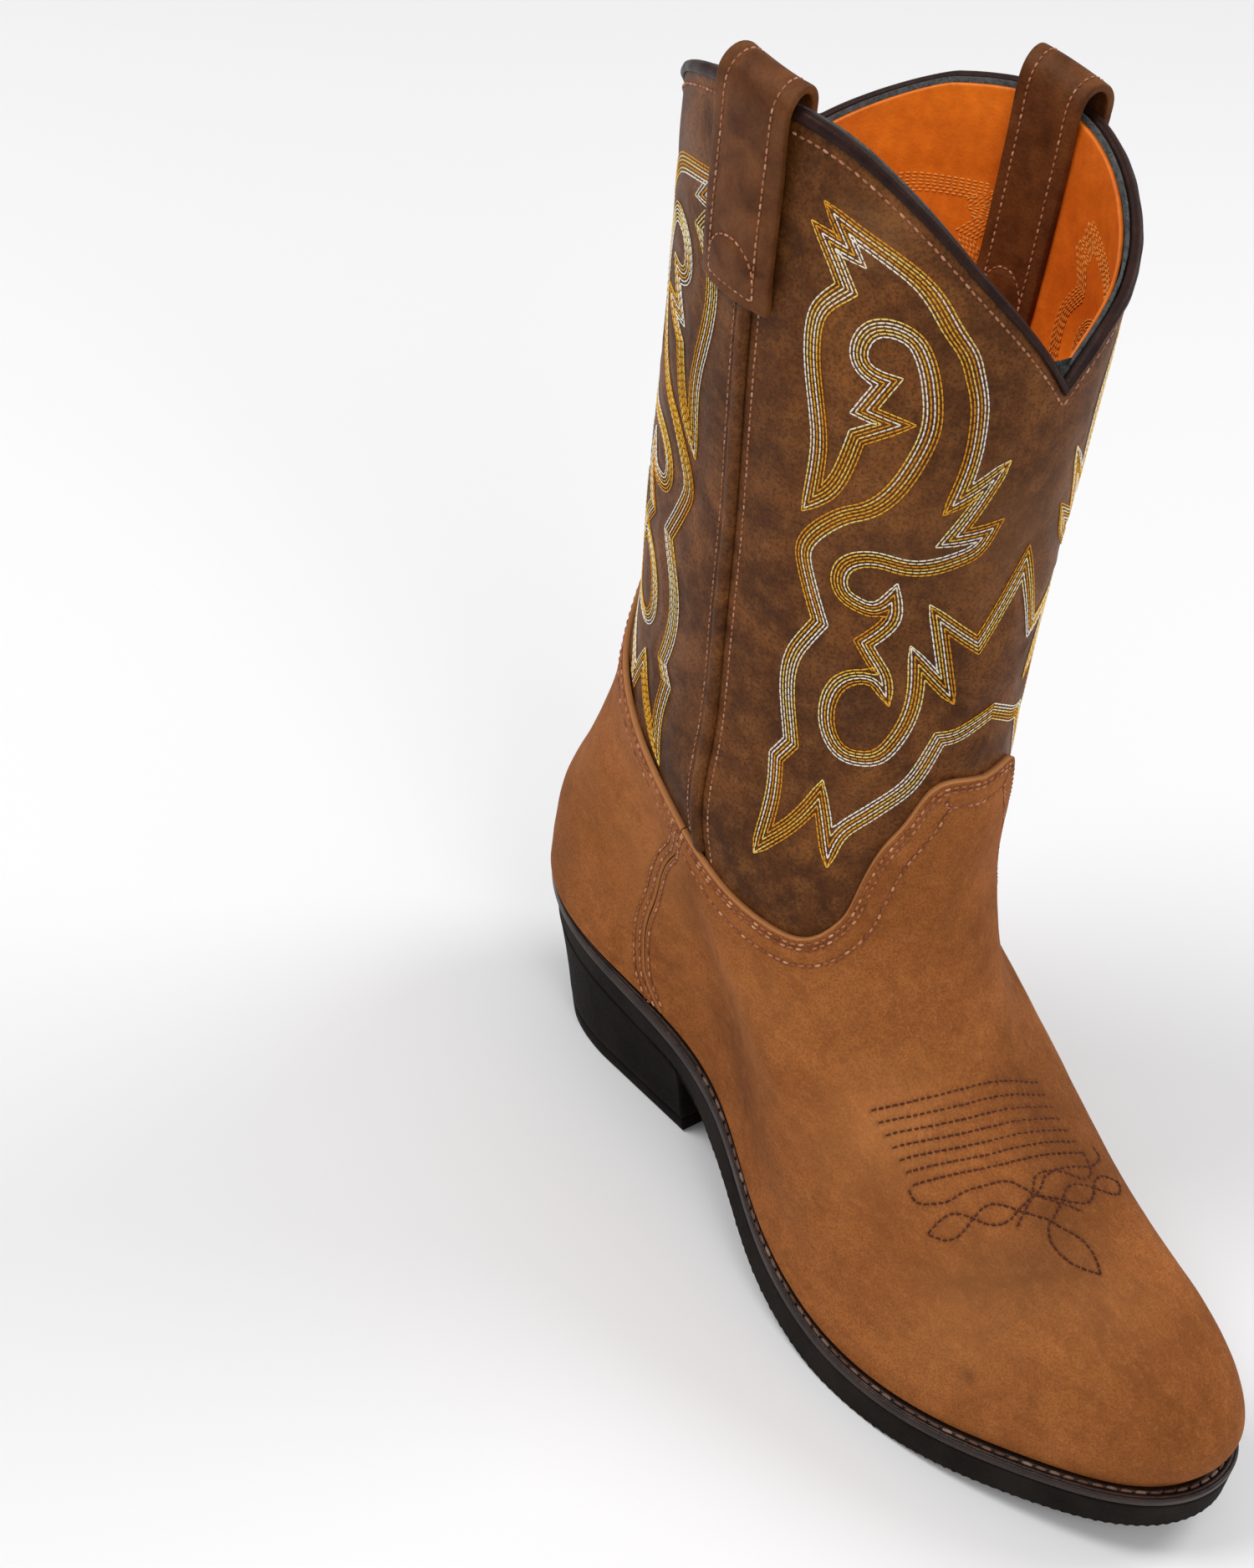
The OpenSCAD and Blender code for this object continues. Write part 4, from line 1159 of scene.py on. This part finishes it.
def tab_height(c):
    """How far from the strap's end the rounded tab of its stitching reaches."""
    return 7 + 9 * np.sqrt(np.maximum(1 - (c / ROW_HALF) ** 2, 0))


def strap_paths():
    """Stitch rows of a strap, across and along it: two long ones, and a rounded tab at each end."""
    u = np.linspace(0, 1, 500)
    long = mix(2.6, STRAP_LONG - 2.6, u)
    paths = [(np.full(500, ROW_HALF), long), (np.full(500, -ROW_HALF), long)]
    for place in (lambda w: w, lambda w: STRAP_LONG - w):
        paths.append((mix(-ROW_HALF, ROW_HALF, u), place(np.full(500, 2.8))))
        paths.append((ROW_HALF * np.cos(np.pi * u), place(7 + 9 * np.sin(np.pi * u))))
    return paths


def pull_strap(angle, word):
    rows = Rows()
    for c, w in strap_paths():
        p = strap_point(angle, c, w, STRAP_T / 2 - 0.1)
        n = unit(p - strap_point(angle, c, w, STRAP_T / 2 - 1.1))
        STRAP_ROWS.row(p, n, **STRAP_STITCH)
        rows.add(p)
    ku, kv = spaced(STRAP_W, 0.75, 0.6), spaced(STRAP_LONG, 0.9, 0.6)
    c = np.repeat((2 * ku - 1)[:, None], len(kv), 1)
    w = np.repeat((kv * STRAP_LONG)[None, :], len(ku), 0)
    if angle > 180:
        c = c[::-1]
    mid = strap_point(angle, c, w, 0.0)
    side = unit(strap_point(angle, c, w, 1.0) - mid)
    d = rows.distance(mid + side * STRAP_T / 2)
    tab = ease((tab_height(c) - np.minimum(w, STRAP_LONG - w)) / 1.6) * (np.abs(c) < ROW_HALF)
    lift = -0.25 * np.exp(-((d / 0.7) ** 2)) + 0.35 * tab + ripple(mid, 0.5)
    half = STRAP_T / 2 - round_off(border(mid), 0.6)
    outer = mid + side * (half + lift)[..., None]
    inner = mid - side * (half - np.minimum(lift, 0) * 0.5)[..., None]
    leaf(f"pull_strap_{word}", outer, inner, STRAP_LEATHER, "strap_leather", k=1)


pull_strap(90, "right")
pull_strap(270, "left")
STRAP_ROWS.build("strap_stitches", FINE_THREAD)

# --- welt, sole, heel


def margin_of(a, share, inset):
    """Plan point: share 0 is the foot's outline, 1 the welt's edge, moved inset mm in."""
    s = along(a)
    back, front = share * 1.5 - inset, share * 8 - inset
    reach = fullness(a, s) + share * MARGIN(s) - inset
    return np.stack([5.5 + back * -1 + (285.5 + back + front) * s, -sin(a) * reach + skew(s)], -1)


def edge_point(a, share, inset, dz):
    """The same, dz mm above the insole line."""
    e = margin_of(a, share, inset)
    return np.concatenate([e, (BASE(e[..., 0]) + dz)[..., None]], -1)


def heel_foot(a):
    """Plan point of the heel's edge on the ground."""
    u = along(a) / BREAST_S
    x = mix(HEEL_BACK, HEEL_FRONT, u)
    v = np.clip((x - HEEL_BACK) / HEEL_CORNER, 0, 1)
    half = HEEL_HALF * (1 - (1 - v) ** 2.6) ** (1 / 2.6) - 3 * np.maximum(0, u - 0.45) / 0.55
    return np.stack([x, np.where(sin(a) >= 0, -half, half)], -1)


def wall_at(a, z, lean=1.0):
    """Point of the sole's and the heel's wall at height z. With no lean the wall is upright."""
    e = margin_of(a, 1, 0)
    z = np.broadcast_to(z, e.shape[:-1])
    k = lean * (1 - z / (BASE(e[..., 0]) - 0.5))
    return np.concatenate([mix(e, heel_foot(a), k[..., None]), z[..., None]], -1)


def past_breast(a):
    """0 over the heel, 1 in front of it."""
    return ease((along(a) / BREAST_S - 0.95) / 0.35)


def wall_point(a, dz):
    """Point of the wall dz above the insole line: it leans in over the heel only."""
    base = BASE(margin_of(a, 1, 0)[..., 0])
    return wall_at(a, np.maximum(0, base + dz), 1 - past_breast(a))


def inset(loop, d):
    """A closed plan line moved d mm inwards."""
    way = unit(np.roll(loop, -1, 0)[:, :2] - np.roll(loop, 1, 0)[:, :2])
    out = loop.copy()
    out[:, 0] -= way[:, 1] * d
    out[:, 1] += way[:, 0] * d
    return out


def slab(name, rings, span, counts, mat, slot, flat=False, low=None, high=None, body="root"):
    """Solid of rings stacked from the bottom to the top. A ring is a function of the angle, and
    how far it is moved in. The sides run from span[0] to span[1] degrees, and with flat the
    front is straight; low and high shape the bottom and the top face."""
    (a0, a1), (n, m) = span, counts
    side = np.linspace(a0, a1, n + 1)
    toe = np.linspace(a1, 360 - a1, m + 1)[1:-1]
    heel = np.linspace(-a0, a0, m + 1)[1:-1]
    f = np.linspace(0, 1, m + 1)[1:-1, None]
    loops = []
    for ring, d in rings:
        front = mix(ring(side[-1:]), ring(-side[-1:]), f) if flat else ring(toe)
        loop = np.concatenate([ring(side), front, ring(-side[::-1]), ring(heel)])
        loops.append(inset(loop, d))
    long = len(loops[0])
    verts = [np.concatenate(loops)]
    strips = np.arange(len(rings) * long).reshape(len(rings), long)
    strips = np.concatenate([strips, strips[:, :1]], 1)
    faces = [grid_quads(strips.T)]
    count = len(rings) * long
    for r, shape, turn in ((0, low, True), (len(rings) - 1, high, False)):
        idx = np.zeros((n + 1, m + 1), int)
        idx[:, 0], idx[:, m] = strips[r, : n + 1], strips[r, 2 * n + m - np.arange(n + 1)]
        idx[n, 1:-1] = strips[r, n + np.arange(1, m)]
        idx[0, 1:-1] = strips[r, long - np.arange(1, m)]
        loop = loops[r]
        right, left = loop[1:n], loop[2 * n + m - np.arange(1, n)]
        g = np.linspace(0, 1, m + 1)[1:-1]
        inside = mix(right[:, None], left[:, None], g[None, :, None])
        if shape is not None:
            inside[..., 2] += shape(inside)
        idx[1:-1, 1:-1] = count + np.arange((n - 1) * (m - 1)).reshape(n - 1, m - 1)
        count += (n - 1) * (m - 1)
        verts.append(inside.reshape(-1, 3))
        faces.append(grid_quads(idx, turn))
    o = new_mesh(name, np.concatenate(verts), [np.concatenate(faces)])
    return finish_piece(o, mat, slot, body)


# Length of the welt's edge against the angle
FULL = np.linspace(-360, 720, 6481)
FULL_S = np.r_[0, np.cumsum(np.linalg.norm(np.diff(margin_of(FULL, 1, 0), axis=0), axis=1))]


def scallop(a):
    """0 to 1 and back every 3 mm along the welt's edge."""
    return np.abs(np.sin(np.interp(a, FULL, FULL_S) * np.pi / 3.0))


# The welt's section: a share of the way out to its edge, and mm from the insole line
WELT_PROFILE = [(0, -3.35), (0.5, -3.38), (0.92, -3.38), (0.985, -3.15), (1, -2.6), (1.002, -1.9),
                (1, -1.2), (0.985, -0.8), (0.955, -0.58), (0.9, -0.5), (0.865, -0.5), (0.85, -0.72),
                (0.83, -0.72), (0.815, -0.44), (0.76, -0.4), (0.7, -0.42), (0.675, -0.6), (0.65, -0.92),
                (0.6, -1.02), (0.55, -0.92), (0.525, -0.6), (0.5, -0.42), (0.4, -0.4),
                (0.2, -0.45), (0, -0.5)]
a = np.arange(0, 360, 0.5)
ring = []
for f, dz in WELT_PROFILE:
    wave = 0.05 * np.sin(a * 1.7) + 0.04 * np.sin(a * 4.9 + 2)
    p = mix(edge_point(a, 0, -0.3, dz), edge_point(a, 1, 0, dz), f)
    p[:, 2] += wave * (dz > -1) * (0 < f < 0.95)
    ring.append(p)
torus("welt", np.stack(ring, 1), WELT, "welt_leather")

WELT_ROWS = Thread(7, (0.1, 0.3, 0.5, 0.7, 0.9))
a = np.linspace(72, 288, 1500)
p = mix(edge_point(a, 0, -0.3, -0.42), edge_point(a, 1, 0, -0.42), 0.6)
WELT_ROWS.row(p, np.repeat([[0.0, 0.0, 1.0]], len(a), 0), **WELT_STITCH,
              tone=lambda s: 0.55 + 0.3 * np.sin(s * 1.9) * np.sin(s * 0.61))
WELT_ROWS.build("welt_stitching", WELT_THREAD)
SOLE_ROWS = Thread()
a = np.linspace(80, 280, 1200)
p = edge_point(a, 1, 6, -SOLE_DEPTH + 0.9)
p[:, 2] = np.maximum(p[:, 2], 0.75)
SOLE_ROWS.row(p, np.repeat([[0.0, 0.0, -1.0]], len(a), 0), **SOLE_STITCH)
SOLE_ROWS.build("outsole_stitching", SEAM_THREAD)

# Middles of the tread's pebbles, PEBBLE mm apart and unevenly shifted
PEBBLE = 2.4
rng = np.random.default_rng(11)
gx, gy = np.meshgrid(np.arange(-5, 310, PEBBLE), np.arange(-64, 65, PEBBLE * 0.87), indexing="ij")
gx = gx + (np.arange(gx.shape[1]) % 2)[None, :] * PEBBLE / 2 + rng.uniform(-0.55, 0.55, gx.shape)
gy = gy + rng.uniform(-0.55, 0.55, gy.shape)
PEBBLES = KDTree(gx.size)
for i, (x, y) in enumerate(zip(gx.ravel(), gy.ravel())):
    PEBBLES.insert((x, y, 0), i)
PEBBLES.balance()


def bars(q, apart=7.5, half=0.8):
    """1 on parallel lines, apart mm from each other in q, and 0 between them."""
    off = 0.5 * apart - np.abs((q / apart) % 1 - 0.5) * apart
    return np.exp(-((off / half) ** 2))


def tread(p):
    """Depth of the sole's pattern: pebbles, and an oval field with a lattice and ribs."""
    x, y = p[..., 0], p[..., 1]
    gap = np.empty(x.size)
    for i, (u, v) in enumerate(zip(x.ravel(), y.ravel())):
        near = PEBBLES.find_n((u, v, 0), 2)
        gap[i] = (near[1][2] - near[0][2]) / 2
    pebble = 0.5 * np.exp(-((gap.reshape(x.shape) / 0.42) ** 2))
    r = np.hypot((x - 208) / 55, y / 32)
    grid = np.maximum(bars(x + y * 1.6), bars(x - y * 1.6))
    ribs = 0.12 + 0.12 * np.sin(x * 2 * np.pi / 2.8)
    lattice = np.maximum(0.55 * grid, ribs * 0.8)
    inner = ease((0.97 - r) / 0.03)
    rim = 0.5 * np.exp(-(((r - 0.99) / 0.018) ** 2))
    fade = ease((x - 96) / 6)
    return (pebble * (1 - inner) * (r > 1) + lattice * inner + rim) * fade


def insole_rings(inset_by, steps):
    """Rings inside the insole line: each step is a height and how much further in it lies."""
    return [(lambda a, h=h, d=d: edge_point(a, 0, inset_by + d, h), 0) for h, d in steps]


def wall_ring(dz, bite):
    """Ring of the sole's wall. The scallops bite into it before the heel."""
    def ring(a):
        p = wall_point(a, dz)
        if bite:
            p[..., 2] += bite * scallop(a) * ease((from_back(a) - 60) / 8)
        return p
    return ring


def channel(inset_by, deep):
    """Ring of the sole's underside. It is deep mm higher in the stitch channel's fore part."""
    def ring(a):
        cut = deep * ease((from_back(a) - 74) / 4)
        q = wall_point(a, -SOLE_DEPTH)
        e = edge_point(a, 1, inset_by, -SOLE_DEPTH)
        p = mix(q, e, past_breast(a)[..., None])
        p[..., 2] = np.maximum(BASE(p[..., 0]) - SOLE_DEPTH, 0) + cut
        return p
    return ring


# Rings of the outsole from the middle of its underside: the stitch channel's inset and depth, the
# wall's height, bite of the scallops and rounding, and the recess for the insole
CHANNEL = [(8.2, 0), (7, 0), (6.85, 1.5), (5.15, 1.5), (5, 0), (1.6, 0)]
WALL = [(-SOLE_DEPTH, 0.0, 0.8), (-SOLE_DEPTH + 0.15, 0.7, 0.25), (-SOLE_DEPTH + 0.7, 0.6, 0.0),
        (-SOLE_DEPTH + 1.4, 0.2, 0.1), (-SOLE_DEPTH + 3, 0.0, 0.0), (-SOLE_DEPTH + 5, 0.0, 0.0),
        (-SOLE_DEPTH + 7, 0.0, 0.0), (-4.6, 0.0, 0.0), (-4.1, 0.0, 0.1), (-3.85, 0.0, 0.4)]
rings = [(channel(inset_by, deep), 0) for inset_by, deep in CHANNEL]
rings += [(wall_ring(dz, bite), rounding) for dz, bite, rounding in WALL]
rings += insole_rings(5.0, [(-3.85, 0.0), (-6.4, 0.2)])
slab("outsole", rings, (1.5, 178.5), (380, 120), SOLE, "sole_rubber", low=tread)

BREAST_A = math.degrees(math.acos(1 - 2 * BREAST_S))


def heel_ring(f):
    """Ring of the heel block, a share f of the way from the cap up to the sole."""
    return lambda a: mix(wall_at(a, CAP_T + 0.1), wall_point(a, -SOLE_DEPTH - 0.1), f)


def cap_ring(z):
    return lambda a: wall_at(a, z)


block = [(0, 0.3), (0.02, 0.05), (0.12, 0.0), (0.35, 0.25), (0.6, 0.3), (0.85, 0.15), (0.97, 0.0),
         (1, 0.15)]
slab("heel_block", [(heel_ring(f), d) for f, d in block], (1.5, BREAST_A), (110, 36), HEEL,
     "heel_rubber", flat=True)
cap = [(0, 0.7), (0.2, 0.25), (0.8, 0.0), (3, 0.0), (CAP_T - 0.5, 0.0), (CAP_T - 0.1, 0.25), (CAP_T, 0.5)]
slab("heel_cap", [(cap_ring(z), d) for z, d in cap], (1.5, BREAST_A), (110, 36), HEEL,
     "heel_rubber", flat=True)

BADGE_X, BADGE_HALF_X, BADGE_HALF_Y = 121, 6.5, 15.5
SLOPE = math.atan((BASE(BADGE_X + 1) - BASE(BADGE_X - 1)) / 2)


def badge_ring(scale, h):
    """Oval ring on the waist's slope, h mm above the sole's underside."""
    def ring(a):
        x, y = -BADGE_HALF_X * cos(a) * scale, -BADGE_HALF_Y * sin(a) * scale
        return np.stack([BADGE_X + x * math.cos(SLOPE) - h * math.sin(SLOPE), y,
                         BASE(BADGE_X) - SOLE_DEPTH + x * math.sin(SLOPE) + h * math.cos(SLOPE)], -1)
    return ring


oval = [(0.72, -0.05), (0.78, -0.05), (0.84, -0.3), (0.95, -0.3), (1, -0.12), (1, 1.2)]
slab("sole_badge", [(badge_ring(scale, h), 0) for scale, h in oval], (2, 178), (60, 12), BADGE, "badge")


def trodden(p):
    """The cover's top, pressed in along its middle."""
    x, y = p[..., 0], p[..., 1]
    return 0.12 * np.sin(x / 13) * np.sin(y / 11) - 0.5 * np.exp(-((y / 26) ** 2))


foam = insole_rings(5.6, [(0.3, 1.0), (0.45, 0.4), (0.9, 0.05), (2, 0.0), (3.6, 0.0), (4.05, 0.15),
                          (4.25, 0.5)])
cover = insole_rings(6, [(4.4, 0.3), (4.55, 0.05), (5.0, 0.0), (5.4, 0.15), (5.6, 0.6)])
slab("footbed", foam, (5, 175), (150, 30), FOAM, "foam", body="footbed")
slab("footbed_cover", cover, (5, 175), (220, 70), COVER, "cover_leather", high=trodden,
               body="footbed")

# The CAD's own solids that stay: they are closed in between the other layers
for node, mat in (("insole_board", INSOLE), ("insole_rib", CANVAS), ("cork_filler", CORK),
                  ("shank", STEEL), ("heel_nails", NAIL), ("toe_puff", BOARD),
                  ("heel_stiffener", BOARD), ("vamp_backing", FELT)):
    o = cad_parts[node]
    o.data.materials.clear()
    o.data.materials.append(mat)

# --- camera, floor, lights


def placed_at(x, y, z, at):
    """Matrix of an object with these axes at this place, in metres."""
    m = np.eye(4)
    m[:3, 0], m[:3, 1], m[:3, 2], m[:3, 3] = x, y, z, at
    return Matrix(m.tolist())


scene = bpy.context.scene
CAMERA_AT = (0.35686, -0.50021, 0.66601)
YAW, PITCH, ROLL = 2.34475, -0.703487, 0.213993
cam = bpy.data.objects.new("camera", bpy.data.cameras.new("camera"))
scene.collection.objects.link(cam)
fwd = np.array([math.cos(PITCH) * math.cos(YAW), math.cos(PITCH) * math.sin(YAW), math.sin(PITCH)])
right = unit(np.cross(fwd, [0, 0, 1.0]))
up = np.cross(right, fwd)
tilted_right = math.cos(ROLL) * right + math.sin(ROLL) * up
tilted_up = -math.sin(ROLL) * right + math.cos(ROLL) * up
cam.matrix_world = placed_at(tilted_right, tilted_up, -fwd, CAMERA_AT)
cam.data.lens, cam.data.sensor_width, cam.data.sensor_fit = 64.61, 36, "AUTO"
cam.data.clip_start, cam.data.clip_end = 0.02, 50
scene.camera = cam
scene.view_settings.view_transform = "Standard"
scene.view_settings.look = "None"

FLOOR = 40
paper = bpy.data.meshes.new("floor")
paper.from_pydata([(-FLOOR, -FLOOR, 0), (FLOOR, -FLOOR, 0), (FLOOR, FLOOR, 0), (-FLOOR, FLOOR, 0)],
                  [], [(0, 1, 2, 3)])
floor = bpy.data.objects.new("floor", paper)
scene.collection.objects.link(floor)
floor.data.materials.append(Look("paper").done((0.83, 0.83, 0.84), 0.75, shine=0.2))

world = bpy.data.worlds.new("studio")
scene.world = world
world.use_nodes = True
world.node_tree.nodes["Background"].inputs[0].default_value = (1, 1, 1, 1)
world.node_tree.nodes["Background"].inputs[1].default_value = 0.5


def lamp(name, at, to, size, power):
    data = bpy.data.lights.new(name, "AREA")
    data.shape, data.size, data.energy = "DISK", size, power
    o = bpy.data.objects.new(name, data)
    scene.collection.objects.link(o)
    z = unit(np.array(at, float) - np.array(to, float))
    x = unit(np.cross([0, 0, 1.0], z))
    o.matrix_world = placed_at(x, np.cross(z, x), z, at)


lamp("key", (-0.7, -0.9, 1.7), (0, 0, 0.15), 0.8, 18)
lamp("fill", (1.3, -0.5, 1.2), (0, 0, 0.1), 1.0, 8)
lamp("back", (0.2, 1.3, 1.5), (0, 0, 0.15), 1.0, 13)
